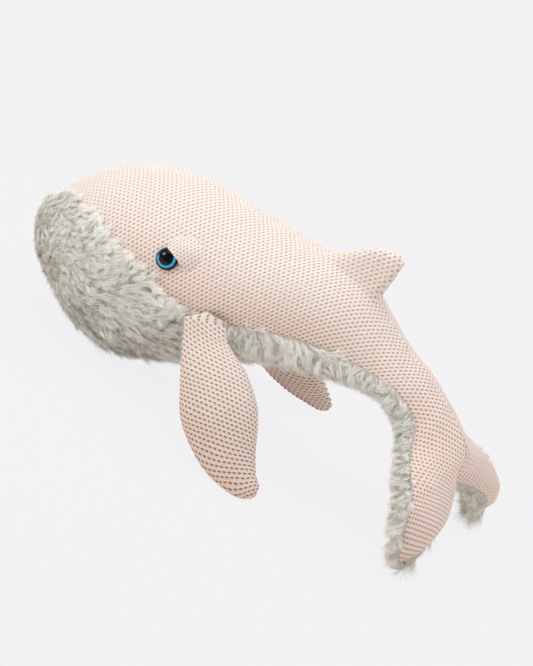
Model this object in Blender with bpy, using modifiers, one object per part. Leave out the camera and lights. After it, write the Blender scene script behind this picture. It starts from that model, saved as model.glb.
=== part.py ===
"""Plush whale: a stuffed whale of cream knit and grey fur, lying on its chin and fluke tips.

Metres, +Z up. The head points to -X and the whale's left side to -Y. The origin is on the
surface that it rests on, under the middle of its bounding box.
"""
import math

import bmesh
import bpy
import numpy as np
from mathutils import Matrix, Vector

for old in list(bpy.data.objects):
    bpy.data.objects.remove(old, do_unlink=True)

# Sizes of the body form
BODY_LENGTH = 0.500
BODY_HEIGHT = 0.200
BODY_WIDTH = 0.168
CHIN_AHEAD = 0.129
FLUKE_SPAN = 0.218
FLUKE_REACH = 0.066
FIN_HEIGHT = 0.043
FIN_CREST = 0.011
FIN_FILL_EASE_SHARE = 2.2
FIN_FILL_WIDTH_SHARE = 0.58
FIN_FILL_CREST_SHARE = 0.53
TAIL_ROOT_X = 0.320
TAIL_ROOT_Z = 0.093
NARROWEST_GIRTH = 0.005

# Fabric, fur and clearances
KNIT_THICK = 0.0030
FUR_BACKING = 0.0030
PILE = 0.0150
SEAM_PILE = 0.0030
FIT_GAP = 0.0003
STUFFING_GAP = 0.0011
SEAM_GAP = 0.0006
TRAILING_GAP = 0.0022
FOLD_GAP = 0.0050
FLUKE_EASE = 0.0025
LEAST_NEST_SHARE = 0.30
TRAILING_PILE_SHARE = 0.15
TRAILING_START_SHARE = 0.80
WELD = 0.00001

# Eyes
EYE_RADIUS = 0.0105
EYE_RIM_WALL = 0.0009
EYE_PLATE = 0.0010
EYE_POST_RADIUS = 0.0023
EYE_POST_LENGTH = 0.0110
IRIS_THICK = 0.0005
PUPIL_RADIUS = 0.0062
PUPIL_THICK = 0.0004
LENS_RISE = 0.0042
WASHER_RADIUS = 0.0075
WASHER_THICK = 0.0015
WASHER_BORE_GAP = 0.0003
EYE_STATION_SHARE = 6.69
EYE_AROUND_SHARE = 0.371

# Eyelids
LID_LENGTH = 0.040
LID_WIDTH = 0.036
LID_RISE = 0.0085
LID_WALL = 0.0020
LID_STATION_SHARE = 7.05
LID_AROUND_SHARE = 0.312

# Flippers
FLIPPER_WIDTH = 0.070
FLIPPER_DEPTH = 0.035
FLIPPER_WALL = 0.0025
FLIPPER_ROOT_X = -0.0342
FLIPPER_ROOT_Y = 0.0840
FLIPPER_ROOT_Z = 0.1076
FLIPPER_REACH = 0.131
FLIPPER_SPREAD = 0.0545
FLIPPER_DROP = 0.1008
FLIPPER_BED_SHARE = 8.45
FLIPPER_BED_LENGTH_SHARE = 1.20
FLIPPER_BED_DEPTH_SHARE = 0.75

# Body sections: centre along the length, centre height, half width, rise above the
# centre, drop below it (shares of the body's length, height, width, height, height),
# lean of the section in degrees, where the seam lies from the top round to the bottom, and
# how long the pile is (share of the full pile)
BODY_SHARES = (
    (-0.232, 0.420, 0.000, 0.000, 0.000, 0, 0.000, 0.40),
    (-0.226, 0.420, 0.101, 0.080, 0.080, 0, 0.200, 0.40),
    (-0.207, 0.424, 0.196, 0.165, 0.145, 0, 0.205, 0.42),
    (-0.175, 0.432, 0.304, 0.268, 0.220, 0, 0.255, 0.45),
    (-0.128, 0.442, 0.399, 0.368, 0.300, 0, 0.320, 0.52),
    (-0.064, 0.460, 0.466, 0.440, 0.388, 0, 0.378, 0.72),
    (0.010, 0.490, 0.500, 0.462, 0.430, 0, 0.430, 1.00),
    (0.090, 0.520, 0.494, 0.442, 0.395, 3, 0.480, 1.00),
    (0.166, 0.580, 0.470, 0.385, 0.355, 6, 0.545, 1.00),
    (0.240, 0.635, 0.429, 0.340, 0.305, 9, 0.562, 1.00),
    (0.304, 0.665, 0.381, 0.322, 0.255, 13, 0.545, 0.95),
    (0.362, 0.670, 0.333, 0.295, 0.208, 18, 0.510, 0.90),
    (0.414, 0.645, 0.286, 0.250, 0.145, 24, 0.450, 0.75),
    (0.477, 0.632, 0.236, 0.184, 0.100, 29, 0.420, 0.50),
    (0.543, 0.610, 0.205, 0.147, 0.085, 34, 0.400, 0.42),
    (0.594, 0.532, 0.202, 0.155, 0.085, 39, 0.405, 0.50),
)

# Fluke sections, from the tail stock to the tip: the trailing point behind, beside and
# below the tail root (shares of the reach, half the span and the root's height), the
# leading point likewise, rise and drop (shares of the body's height), how much of the
# section is still open to the other fluke, lean in degrees, the seam and the pile
FLUKE_SHARES = (
    ((0.000, 0.000, 0.000), (-0.182, 0.423, 0.060), 0.150, 0.085, 0.95, 44, 0.400, 0.55),
    ((0.258, 0.000, 0.108), (0.000, 0.630, 0.140), 0.128, 0.080, 0.70, 46, 0.405, 0.65),
    ((0.439, 0.000, 0.225), (0.227, 0.820, 0.260), 0.103, 0.065, 0.00, 46, 0.412, 0.75),
    ((0.662, 0.257, 0.300), (0.409, 0.950, 0.420), 0.090, 0.055, 0.00, 44, 0.420, 0.85),
    ((0.825, 0.505, 0.420), (0.540, 0.985, 0.605), 0.080, 0.045, 0.00, 42, 0.430, 1.05),
    ((0.838, 0.690, 0.590), (0.640, 0.975, 0.775), 0.060, 0.040, 0.00, 40, 0.440, 1.20),
    ((0.800, 0.830, 0.690), (0.670, 0.945, 0.800), 0.040, 0.048, 0.00, 40, 0.450, 1.55),
    ((0.725, 0.915, 0.775), (0.725, 0.915, 0.775), 0.000, 0.000, 0.00, 40, 0.450, 0.75),
)

# Dorsal fin: place along the back (share of the body's length) and height (share)
FIN_SHARES = (
    (0.292, 0.00),
    (0.316, 0.19),
    (0.336, 0.47),
    (0.354, 0.72),
    (0.374, 0.91),
    (0.394, 1.00),
    (0.406, 0.95),
    (0.412, 0.56),
    (0.418, 0.09),
    (0.424, 0.00),
)

# Flipper sections from root to tip: how far back, out and down (shares of the reach,
# spread and drop), then half width, half depth and twist (shares of width, depth, turn)
LEFT_FLIPPER_SHARES = (
    (0.000, 0.000, 0.000, 0.270, 0.14, 0.00),
    (0.089, 0.116, 0.148, 0.310, 0.22, 0.25),
    (0.288, 0.371, 0.356, 0.440, 0.40, 0.85),
    (0.460, 0.577, 0.568, 0.500, 0.50, 1.00),
    (0.650, 0.753, 0.793, 0.390, 0.42, 1.00),
    (0.827, 0.870, 0.920, 0.240, 0.27, 1.00),
    (0.951, 0.905, 0.955, 0.125, 0.15, 1.00),
    (0.989, 0.900, 0.965, 0.000, 0.00, 1.00),
)
RIGHT_FLIPPER_SHARES = (
    (0.000, 0.000, 0.000, 0.270, 0.14, 0.00),
    (0.055, 0.245, 0.216, 0.310, 0.22, 0.25),
    (0.145, 0.440, 0.474, 0.440, 0.40, 0.60),
    (0.273, 0.526, 0.688, 0.500, 0.45, 0.70),
    (0.422, 0.670, 0.832, 0.390, 0.38, 0.70),
    (0.563, 0.817, 0.932, 0.240, 0.25, 0.70),
    (0.651, 0.895, 0.987, 0.125, 0.14, 0.70),
    (0.678, 0.900, 1.000, 0.000, 0.00, 0.70),
)
ROOT_LINE = Vector((0.948, 0.170, 0.266)).normalized()
BLADE_LINE = Vector((0.677, 0.428, 0.603)).normalized()

LAST_BODY = len(BODY_SHARES) - 1
NOSE = 0.0
CHIN_END = 8.0
FLUKE_START = LAST_BODY + 1.0
TIP = float(LAST_BODY + len(FLUKE_SHARES))
KNIT_START = 0.56
HEAD_START = 0.5
HEAD_END = 7.0
TRUNK_END = 12.0
FIN_FILL_PLACES = (10.1, 10.3, 10.5, 10.7, 10.85, 10.95)
ROOT_CAP_TURNS = (1.25, 0.8, 0.4)

whale = bpy.data.collections.new("plush_whale")
bpy.context.scene.collection.children.link(whale)
cutters = bpy.data.collections.new("cutters")
bpy.context.scene.collection.children.link(cutters)


# The form of the body
def form_table():
    rows = []
    for x, z, half, up, down, lean, seam, pile in BODY_SHARES:
        cx = x * BODY_LENGTH - CHIN_AHEAD
        cz = z * BODY_HEIGHT
        rows.append((cx, 0.0, cz, cx, -half * BODY_WIDTH, cz,
                     up * BODY_HEIGHT, down * BODY_HEIGHT, 1.0, lean, seam, pile))
    for back, lead, up, down, joined, lean, seam, pile in FLUKE_SHARES:
        row = []
        for point in (back, lead):
            row.append(TAIL_ROOT_X - CHIN_AHEAD + point[0] * FLUKE_REACH)
            row.append(-point[1] * FLUKE_SPAN / 2)
            row.append(TAIL_ROOT_Z * (1 - point[2]))
        rows.append((*row, up * BODY_HEIGHT, down * BODY_HEIGHT, joined, lean, seam, pile))
    return np.array(rows)


FORM = form_table()


def smooth(table, place):
    """A smooth curve through the table's rows, read at each place."""
    place = np.asarray(place, float)
    last = len(table) - 1
    i = np.clip(np.floor(place).astype(int), 0, last - 1)
    f = (place - i)[:, None]
    p1 = table[i]
    p2 = table[i + 1]
    p0 = np.where((i > 0)[:, None], table[np.maximum(i - 1, 0)], 2 * p1 - p2)
    p3 = np.where((i < last - 1)[:, None], table[np.minimum(i + 2, last)], 2 * p2 - p1)
    bend = 2 * p0 - 5 * p1 + 4 * p2 - p3
    turn = 3 * p1 - p0 - 3 * p2 + p3
    return 0.5 * (2 * p1 + (p2 - p0) * f + bend * f**2 + turn * f**3)


def fin_height(along):
    places = np.array([share[0] for share in FIN_SHARES]) * BODY_LENGTH - CHIN_AHEAD
    heights = np.array([share[1] for share in FIN_SHARES]) * FIN_HEIGHT
    return np.interp(along, places, heights)


def section_points(place, around, fin=True, inset=0.0):
    """Left side of the body: around runs 0 at the top, 0.5 at the side, 1 at the bottom.

    An inset nests the section inside itself, with its middle, ends, rise and drop drawn in.
    """
    row = smooth(FORM, place)
    middle = row[:, 0:3]
    middle[:, 1] = np.minimum(middle[:, 1], 0)
    chord = row[:, 3:6] - middle
    up = np.maximum(row[:, 6], 0)
    down = np.maximum(row[:, 7], 0)
    inset = np.broadcast_to(inset, around.shape)
    joined = np.clip(row[:, 8], 0, 1)[:, None]
    lean = np.radians(row[:, 9])
    reach = np.linalg.norm(chord, axis=1)
    side = chord / np.maximum(reach, 1e-9)[:, None]
    side[reach < 1e-6] = (0, -1, 0)
    sole = np.stack([np.sin(lean), 0 * lean, np.cos(lean)], 1)
    rise = sole - (sole * side).sum(1)[:, None] * side
    rise /= np.linalg.norm(rise, axis=1)[:, None]
    centre = 0.5 * (1 - joined)
    half = np.where(around < 0.5, around * 2, (1 - around) * 2)
    edge = 0.9 * centre
    behind = half < edge
    turn_back = np.where(behind, 1 - half / np.maximum(edge, 1e-9), 0) * np.pi / 2
    turn_front = np.where(behind, 0, (half - edge) / (1 - edge)) * np.pi / 2
    across = np.where(behind, centre * (1 - np.sin(turn_back)),
                      centre + (1 - centre) * np.sin(turn_front))
    height = np.where(behind,
                      np.sqrt(np.clip(1 - (1 - joined**2) * np.sin(turn_back)**2, 0, 1)),
                      np.cos(turn_front))
    least = LEAST_NEST_SHARE * (1 - inset / PILE)
    high = np.maximum(up[:, None] - inset, up[:, None] * least)
    deep = np.maximum(down[:, None] - inset, down[:, None] * least)
    height = height * np.where(around < 0.5, high, -deep)
    ends = np.minimum(inset, reach[:, None] * LEAST_NEST_SHARE)
    start = ends * (1 - joined)
    run = reach[:, None] - start - ends
    if fin:
        along = middle[:, 0] + up * np.sin(lean)
        ridge = np.where(place < LAST_BODY, fin_height(along), 0)
        crest = np.exp(-(reach[:, None] * across / FIN_CREST)**4) * (around < 0.5)
        height = height + ridge[:, None] * crest
    upright = np.clip(joined * 4, 0, 1) * (1 - across)**2
    lift = rise[:, None] + (sole - rise)[:, None] * upright[..., None]
    return (middle[:, None] + side[:, None] * (start + run * across)[..., None]
            + lift * height[..., None])


def surface(place, around, inset=0.0, fin=True):
    """Points of the left side, moved in along the surface's own normal."""
    place = np.asarray(place, float)
    around = np.asarray(around, float)
    step = 0.01
    ahead = np.clip(place - step, 0.02, TIP - 0.02)
    after = np.clip(place + step, 0.02, TIP - 0.02)
    after = np.where(after <= ahead, ahead + step, after)
    low = np.clip(around - step, 0, 1)
    high = np.clip(around + step, 0, 1)
    along = section_points(after, around, fin) - section_points(ahead, around, fin)
    inner = np.clip(place, 0.05, TIP - 0.05)
    about = section_points(inner, high, fin) - section_points(inner, low, fin)
    normal = np.cross(about, along)
    normal /= np.maximum(np.linalg.norm(normal, axis=2), 1e-12)[..., None]
    normal[place <= 0.02] = (-1, 0, 0)
    on_middle = (around < 1e-6) | (around > 1 - 1e-6)
    on_body = (place < FLUKE_START - 0.5)[:, None] & on_middle
    normal[..., 1] = np.where(on_body, 0, normal[..., 1])
    normal /= np.maximum(np.linalg.norm(normal, axis=2), 1e-12)[..., None]
    inset = np.broadcast_to(inset, around.shape)
    moved = section_points(place, around, fin) - normal * inset[..., None]
    nested = section_points(place, around, fin, inset)
    on_fluke = np.clip(place - FLUKE_START + 0.5, 0, 1)[:, None, None]
    return moved + (nested - moved) * on_fluke


def seam_at(place):
    """Where the knit meets the fur, from the top (0) to the bottom (1)."""
    seam = smooth(FORM, place)[:, 10]
    return np.where(place < 1, np.sqrt(np.clip((place - 0.5) * 2, 0, 1)) * FORM[1, 10], seam)


def trailing_gap(place):
    """Half the gap between the knit and the fur along a fluke's trailing edge."""
    joined = np.clip(smooth(FORM, place)[:, 8], 0, 1)
    return (1 - joined) * TRAILING_GAP / np.maximum(half_girth(place), NARROWEST_GIRTH)


def half_girth(place):
    around = np.tile(np.linspace(0, 1, 41), (len(place), 1))
    points = section_points(np.asarray(place, float), around, fin=False)
    return np.linalg.norm(np.diff(points, axis=1), axis=2).sum(1)


def spread(first, last, count, power=1.0):
    """Places across each row, from the first to the last value of that row."""
    share = np.linspace(0, 1, count) ** power
    first = np.asarray(first, float)[:, None]
    last = np.asarray(last, float)[:, None]
    return first + (last - first) * share


# Mesh helpers
def new_part(name, mesh, material):
    mesh.materials.append(material)
    part = bpy.data.objects.new(name, mesh)
    whale.objects.link(part)
    return part


def closed_mesh(name, verts, faces):
    mesh = bpy.data.meshes.new(name)
    body = bmesh.new()
    made = [body.verts.new(v) for v in verts]
    for face in faces:
        body.faces.new([made[k] for k in face])
    bmesh.ops.remove_doubles(body, verts=body.verts, dist=WELD)
    bmesh.ops.recalc_face_normals(body, faces=body.faces)
    body.to_mesh(mesh)
    body.free()
    mesh.shade_smooth()
    return mesh


def shell_faces(rows, cols):
    """Faces of a sheet with an outer grid, an inner grid and a rim."""
    faces = []
    inner = rows * cols
    for i in range(rows - 1):
        for j in range(cols - 1):
            a = i * cols + j
            faces.append((a, a + 1, a + cols + 1, a + cols))
            faces.append((inner + a, inner + a + cols, inner + a + cols + 1, inner + a + 1))
    for i in range(rows - 1):
        for j in (0, cols - 1):
            a = i * cols + j
            faces.append((a, a + cols, inner + a + cols, inner + a))
    for j in range(cols - 1):
        for i in (0, rows - 1):
            a = i * cols + j
            faces.append((a, a + 1, inner + a + 1, inner + a))
    return faces


def shell(name, outer, inner, material):
    rows, cols = outer.shape[:2]
    verts = np.concatenate([outer.reshape(-1, 3), inner.reshape(-1, 3)])
    mesh = closed_mesh(name, verts.tolist(), shell_faces(rows, cols))
    return new_part(name, mesh, material)


def tube(name, rings, material):
    """A closed solid through rings of points, with a fan over each end."""
    rows, cols = rings.shape[:2]
    verts = rings.reshape(-1, 3).tolist()
    faces = []
    for i in range(rows - 1):
        for j in range(cols):
            k = (j + 1) % cols
            faces.append((i * cols + j, i * cols + k, (i + 1) * cols + k, (i + 1) * cols + j))
    for i in (0, rows - 1):
        verts.append(rings[i].mean(0).tolist())
        hub = len(verts) - 1
        for j in range(cols):
            k = (j + 1) % cols
            faces.append((i * cols + j, i * cols + k, hub))
    return new_part(name, closed_mesh(name, verts, faces), material)


def mirrored(points):
    return points * np.array([1.0, -1.0, 1.0])


def on_side(points, sign):
    """A left half turned to its own side, clear of the other half at the middle."""
    clear = np.minimum(points[..., 1] - FIT_GAP / 2, -FIT_GAP / 2)
    return np.stack([points[..., 0], -sign * clear, points[..., 2]], -1)


def on_floor(points):
    """The form pressed flat where it rests on the surface below."""
    return np.stack([points[..., 0], points[..., 1], np.maximum(points[..., 2], 0)], -1)


def finish(name, colour, roughness, metallic=0.0):
    material = bpy.data.materials.new(name)
    material.use_nodes = True
    shader = material.node_tree.nodes["Principled BSDF"]
    shader.inputs["Base Color"].default_value = (*colour, 1.0)
    shader.inputs["Roughness"].default_value = roughness
    shader.inputs["Metallic"].default_value = metallic
    material.diffuse_color = (*colour, 1.0)
    return material


KNIT = finish("cream_knit", (0.82, 0.70, 0.62), 0.95)
FUR = finish("grey_fur", (0.50, 0.49, 0.44), 0.95)
FILL = finish("white_stuffing", (0.88, 0.88, 0.86), 1.0)
BLACK = finish("black_plastic", (0.008, 0.008, 0.010), 0.25)
BLUE = finish("blue_iris", (0.02, 0.22, 0.48), 0.30)
CLEAR = finish("clear_acrylic", (0.80, 0.90, 0.95), 0.05)
WASHER = finish("white_plastic", (0.75, 0.75, 0.73), 0.45)

SIDES = (("left", -1), ("right", 1))


def half_gap_places(at, gap=STUFFING_GAP):
    """How far the place moves for half a gap along the body."""
    here = smooth(FORM, np.array([at]))[0, 0:3]
    there = smooth(FORM, np.array([at + 0.1]))[0, 0:3]
    return 0.1 * gap / 2 / np.linalg.norm(there - here)


# Stuffing of the head, trunk and tail
def full_ring(places, count, inset):
    around = np.tile(np.linspace(0, 1, count), (len(places), 1))
    left = surface(places, around, inset, fin=False)
    return np.concatenate([left, mirrored(left)[:, -2:0:-1]], 1)


def stuffing(name, first, last, gap, count=15):
    """One filled length of the body, inside the fabric and clear of the next length."""
    step = half_gap_places(last)
    places = np.concatenate([[first + step], np.arange(first + 0.5, last - 0.1, 0.5), [last - step]])
    rings = full_ring(places, count, KNIT_THICK + gap)
    return tube(name, rings, FILL)


for part_name, first, last, gap in (("head_stuffing", HEAD_START, HEAD_END, STUFFING_GAP),
                                    ("body_stuffing", HEAD_END, TRUNK_END, STUFFING_GAP),
                                    ("tail_stuffing", TRUNK_END, FLUKE_START, FLUKE_EASE)):
    stuffing(part_name, first, last, gap)


# Knit back panels, one a side, from the nose to the fluke tips with the fin and the
# tops of the flukes in one piece
def back_places():
    body = np.concatenate([[KNIT_START, 0.75], np.arange(1.0, 9.3, 0.5)])
    fin = np.concatenate([np.arange(9.5, 10.9, 0.25), np.arange(11.0, 11.45, 0.1)])
    rest = np.arange(11.5, TIP, 0.5)
    return np.concatenate([body, fin, rest, [TIP - 0.1]])


def back_panel(name, sign):
    places = back_places()
    around = spread(trailing_gap(places), seam_at(places), 9, 1.3)
    outer = surface(places, around)
    inner = surface(places, around, KNIT_THICK)
    return shell(name, on_side(outer, sign), on_side(inner, sign), KNIT)


for side_name, sign in SIDES:
    back_panel("back_panel_" + side_name, sign)


# Fur panels: the pile stands out from its backing and lies low along the seam
def pile_at(places, share):
    pressed = 1 - np.sin(np.clip(share * 5, 0, 1) * np.pi / 2)
    beside_knit = np.clip((places - 0.5) * 2, 0, 1)[:, None]
    bed = np.exp(-((places - FLIPPER_BED_SHARE) / FLIPPER_BED_LENGTH_SHARE)**2)[:, None]
    under_flipper = bed * np.clip((FLIPPER_BED_DEPTH_SHARE - share) * 3, 0, 1)
    low = np.maximum(pressed * beside_knit, under_flipper)
    trailing = np.clip((share - TRAILING_START_SHARE) / (1 - TRAILING_START_SHARE), 0, 1)
    trailing = trailing * np.clip(places - FLUKE_START, 0, 1)[:, None]
    full = smooth(FORM, places)[:, 11:12] * (1 - (1 - TRAILING_PILE_SHARE) * trailing)
    return (PILE - (PILE - SEAM_PILE) * low) * full


def fur_sheet(places, count, pile_scale=1.0):
    """Outer and inner grids of the left side's fur, from the seam to the bottom."""
    first = seam_at(places) + SEAM_GAP / np.maximum(half_girth(places), NARROWEST_GIRTH)
    around = spread(first, 1 - trailing_gap(places), count)
    share = np.tile(np.linspace(0, 1, count), (len(places), 1))
    outer = surface(places, around, -pile_at(places, share) * pile_scale, fin=False)
    inner = surface(places, around, FUR_BACKING, fin=False)
    return on_floor(outer), on_floor(inner)


def both_sides(left):
    return np.concatenate([left, mirrored(left)[:, -2::-1]], 1)


def fur_gusset(name, places, count):
    outer, inner = fur_sheet(places, count)
    return shell(name, both_sides(outer), both_sides(inner), FUR)


step = half_gap_places(CHIN_END)
chin_places = np.concatenate([[NOSE, 0.25, 0.5, 0.75], np.arange(1.0, 7.6, 0.5),
                              [CHIN_END - step]])
fur_gusset("chin_panel", chin_places, 12)
belly_places = np.concatenate([[CHIN_END + step], np.arange(8.5, FLUKE_START - 0.3, 0.5),
                               [FLUKE_START - half_gap_places(FLUKE_START, FLUKE_EASE)]])
fur_gusset("belly_panel", belly_places, 9)


# Fur undersides of the flukes and their stuffing
def fluke_fur(name, sign):
    places = np.concatenate([[FLUKE_START + half_gap_places(FLUKE_START, FOLD_GAP)],
                             np.arange(FLUKE_START + 0.5, TIP - 0.3, 0.5), [TIP - 0.15]])
    outer, inner = fur_sheet(places, 9, np.clip(places - FLUKE_START + 0.5, 0, 1)[:, None])
    return shell(name, on_side(outer, sign), on_side(inner, sign), FUR)


def fluke_stuffing(name, sign):
    step = half_gap_places(FLUKE_START)
    places = np.concatenate([[FLUKE_START + step], np.arange(FLUKE_START + 0.5, TIP - 1.3, 0.5)])
    around = np.tile(np.linspace(0, 1, 21), (len(places), 1))
    rings = surface(places, around, KNIT_THICK + FLUKE_EASE)
    return tube(name, on_side(rings, sign), FILL)


for side_name, sign in SIDES:
    fluke_fur("fluke_underside_" + side_name, sign)
    fluke_stuffing("fluke_stuffing_" + side_name, sign)


# Filling of the dorsal fin, standing on the trunk's stuffing inside the two back panels
def fin_stuffing(name):
    places = np.array(FIN_FILL_PLACES)
    row = smooth(FORM, places)
    crest_x = row[:, 0] + row[:, 6] * np.sin(np.radians(row[:, 9]))
    height = fin_height(crest_x) - KNIT_THICK * FIN_FILL_EASE_SHARE
    half = np.linspace(-1, 1, 9) * FIN_CREST * FIN_FILL_WIDTH_SHARE
    half_width = -row[:, 4]
    around = np.arcsin(np.abs(half)[None, :] / half_width[:, None]) / np.pi
    base = surface(places, around, KNIT_THICK, fin=False)
    base[..., 1] = half
    lean = np.radians(row[:, 9])
    rise = np.stack([np.sin(lean), 0 * lean, np.cos(lean)], 1)
    crest = np.exp(-(half / (FIN_CREST * FIN_FILL_CREST_SHARE))**4)
    lift = height[:, None] * crest[None, :]
    top = base + rise[:, None] * (KNIT_THICK + lift)[..., None]
    return shell(name, top, base, FILL)


fin_stuffing("dorsal_fin_stuffing")


# Frame on the outer surface, with Z along the outward normal and X toward the tail
def surface_frame(place, around):
    def point(p, a):
        return Vector(section_points(np.array([p]), np.array([[a]]), fin=False)[0, 0])
    here = point(place, around)
    along = (point(place + 0.05, around) - point(place - 0.05, around)) / 0.1
    about = (point(place, around + 0.01) - point(place, around - 0.01)) / 0.02
    normal = about.cross(along).normalized()
    x_axis = along.normalized()
    y_axis = normal.cross(x_axis)
    frame = Matrix((x_axis, y_axis, normal)).transposed().to_4x4()
    return Matrix.Translation(here) @ frame, along.length, about.length


def turned(name, profile, frame, sign, material, steps=24):
    """A turned piece: radius and height from the outer side, top to bottom."""
    mesh = bpy.data.meshes.new(name)
    edges = [(k, k + 1) for k in range(len(profile) - 1)]
    mesh.from_pydata([(r, 0, z) for r, z in profile], edges, [])
    part = new_part(name, mesh, material)
    screw = part.modifiers.new("turn", "SCREW")
    screw.steps = steps
    screw.render_steps = steps
    screw.use_merge_vertices = True
    screw.merge_threshold = WELD
    if sign > 0:
        flip = Matrix.Diagonal((1, -1, 1, 1))
        part.matrix_world = flip @ frame @ flip
    else:
        part.matrix_world = frame
    return part


def cut(part, cutter):
    boolean = part.modifiers.new("cut", "BOOLEAN")
    boolean.operation = "DIFFERENCE"
    boolean.solver = "EXACT"
    boolean.object = cutter


def as_cutter(part):
    whale.objects.unlink(part)
    cutters.objects.link(part)
    part.hide_render = True
    part.display_type = "WIRE"
    return part


def drum(radius, low, high):
    """Profile of a plain cylinder from high to low."""
    return [(0, high), (radius, high), (radius, low), (0, low)]


# Eyes: a domed clear lens over a printed iris and pupil, in a black cup whose post goes
# through the knit and is held by a washer inside
def eye(side_name, sign):
    frame, _, _ = surface_frame(EYE_STATION_SHARE, EYE_AROUND_SHARE)
    seat = FIT_GAP
    plate = seat + EYE_PLATE
    iris_low = plate + FIT_GAP
    iris_high = iris_low + IRIS_THICK
    pupil_low = iris_high + FIT_GAP
    pupil_high = pupil_low + PUPIL_THICK
    rim = pupil_high + FIT_GAP
    bowl = EYE_RADIUS - EYE_RIM_WALL
    cup = [(0, plate), (bowl, plate), (bowl, rim), (EYE_RADIUS, rim), (EYE_RADIUS, seat),
           (EYE_POST_RADIUS, seat), (EYE_POST_RADIUS, seat - EYE_POST_LENGTH),
           (0, seat - EYE_POST_LENGTH)]
    turned("eye_cup_" + side_name, cup, frame, sign, BLACK)
    turned("eye_iris_" + side_name, drum(bowl - FIT_GAP, iris_low, iris_high), frame, sign, BLUE)
    turned("eye_pupil_" + side_name, drum(PUPIL_RADIUS, pupil_low, pupil_high), frame, sign, BLACK)
    lens_low = rim + FIT_GAP
    dome = [(math.sin(a) * (EYE_RADIUS - FIT_GAP), lens_low + EYE_PLATE + math.cos(a) * LENS_RISE)
            for a in [k * math.pi / 12 for k in range(7)]]
    dome[0] = (0, dome[0][1])
    lens = dome + [(EYE_RADIUS - FIT_GAP, lens_low), (0, lens_low)]
    turned("eye_lens_" + side_name, lens, frame, sign, CLEAR)
    top = -KNIT_THICK - FIT_GAP * 5
    bore = EYE_POST_RADIUS + WASHER_BORE_GAP
    ring = [(bore, top), (WASHER_RADIUS, top), (WASHER_RADIUS, top - WASHER_THICK),
            (bore, top - WASHER_THICK), (bore, top)]
    turned("eye_washer_" + side_name, ring, frame, sign, WASHER)
    hole = as_cutter(turned("eye_hole_" + side_name,
                            drum(bore, -EYE_POST_LENGTH, EYE_POST_LENGTH), frame, sign, WASHER))
    cut(bpy.data.objects["back_panel_" + side_name], hole)
    pocket_radius = WASHER_RADIUS + FIT_GAP * 2
    pocket = as_cutter(turned("eye_pocket_" + side_name,
                              drum(pocket_radius, -EYE_POST_LENGTH - FIT_GAP, EYE_POST_LENGTH),
                              frame, sign, WASHER))
    cut(bpy.data.objects["head_stuffing"], pocket)
    socket = as_cutter(turned("eye_socket_" + side_name,
                              drum(EYE_RADIUS + FIT_GAP, -EYE_POST_LENGTH, EYE_POST_LENGTH * 2),
                              frame, sign, WASHER))
    return socket


# Eyelids: a puffed patch of knit over a little wadding, behind and above each eye
def eyelid(side_name, sign, socket):
    _, per_place, per_around = surface_frame(LID_STATION_SHARE, LID_AROUND_SHARE)
    turns = np.linspace(0, 2 * np.pi, 24, endpoint=False)

    def ring(radius, height):
        place = LID_STATION_SHARE + radius * np.cos(turns) * LID_LENGTH / 2 / per_place
        around = LID_AROUND_SHARE + radius * np.sin(turns) * LID_WIDTH / 2 / per_around
        points = surface(place, around[:, None], -height, fin=False)[:, 0]
        return points * np.array([1, -sign, 1])

    radii = (0.0, 0.35, 0.65, 0.88, 1.0)

    def dome(rise, scale):
        return [ring(r * scale, rise * math.sqrt(1 - r**2) + FIT_GAP) for r in radii]

    outer = dome(LID_RISE, 1.0)
    inner = dome(LID_RISE - LID_WALL, 1 - LID_WALL / LID_WIDTH * 2)
    patch = tube("eyelid_" + side_name, np.array(outer + inner[::-1]), KNIT)
    core = dome(LID_RISE - LID_WALL - FIT_GAP * 2, 1 - (LID_WALL + FIT_GAP) / LID_WIDTH * 2)
    floor = [ring(r * (1 - (LID_WALL + FIT_GAP) / LID_WIDTH * 2), FIT_GAP) for r in radii]
    wadding = tube("eyelid_wadding_" + side_name, np.array(core + floor[-2::-1]), FILL)
    cut(patch, socket)
    cut(wadding, socket)


for side_name, sign in SIDES:
    eyelid(side_name, sign, eye(side_name, sign))


# Flippers: two knit panels a side over a stuffed paddle, hinged on the root that is sewn
# into the seam between the knit and the fur
def flipper_points(table, place, turn, inset):
    """Left-side points: turn 0 is the trailing edge, a half turn the leading edge."""
    row = smooth(table, place)
    centre = np.stack([FLIPPER_ROOT_X + row[:, 0] * FLIPPER_REACH,
                       -FLIPPER_ROOT_Y - row[:, 1] * FLIPPER_SPREAD,
                       FLIPPER_ROOT_Z - row[:, 2] * FLIPPER_DROP], 1)
    ahead = np.clip(place - 0.05, 0, len(table) - 1.1)
    after = smooth(table, ahead + 0.1)[:, 0:3]
    before = smooth(table, ahead)[:, 0:3]
    run = (after - before) * np.array([FLIPPER_REACH, -FLIPPER_SPREAD, -FLIPPER_DROP])
    run /= np.linalg.norm(run, axis=1)[:, None]
    twist = row[:, 5:6]
    square = np.array(BLADE_LINE) - (run @ np.array(BLADE_LINE))[:, None] * run
    square /= np.linalg.norm(square, axis=1)[:, None]
    across = np.array(ROOT_LINE) * (1 - twist) + square * twist
    across /= np.linalg.norm(across, axis=1)[:, None]
    outward = np.cross(run, across)
    outward /= np.linalg.norm(outward, axis=1)[:, None]
    wide = np.maximum(row[:, 3] * FLIPPER_WIDTH, 0)[:, None]
    thick = np.maximum(row[:, 4] * FLIPPER_DEPTH, 0)[:, None]
    least = LEAST_NEST_SHARE * (1 - inset / PILE)
    wide = np.maximum(wide - inset, wide * least)
    thick = np.maximum(thick - inset, thick * least)
    return (centre[:, None] + across[:, None] * (wide * np.cos(turn))[..., None]
            + outward[:, None] * (thick * np.sin(turn))[..., None]), run, across, outward


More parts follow.
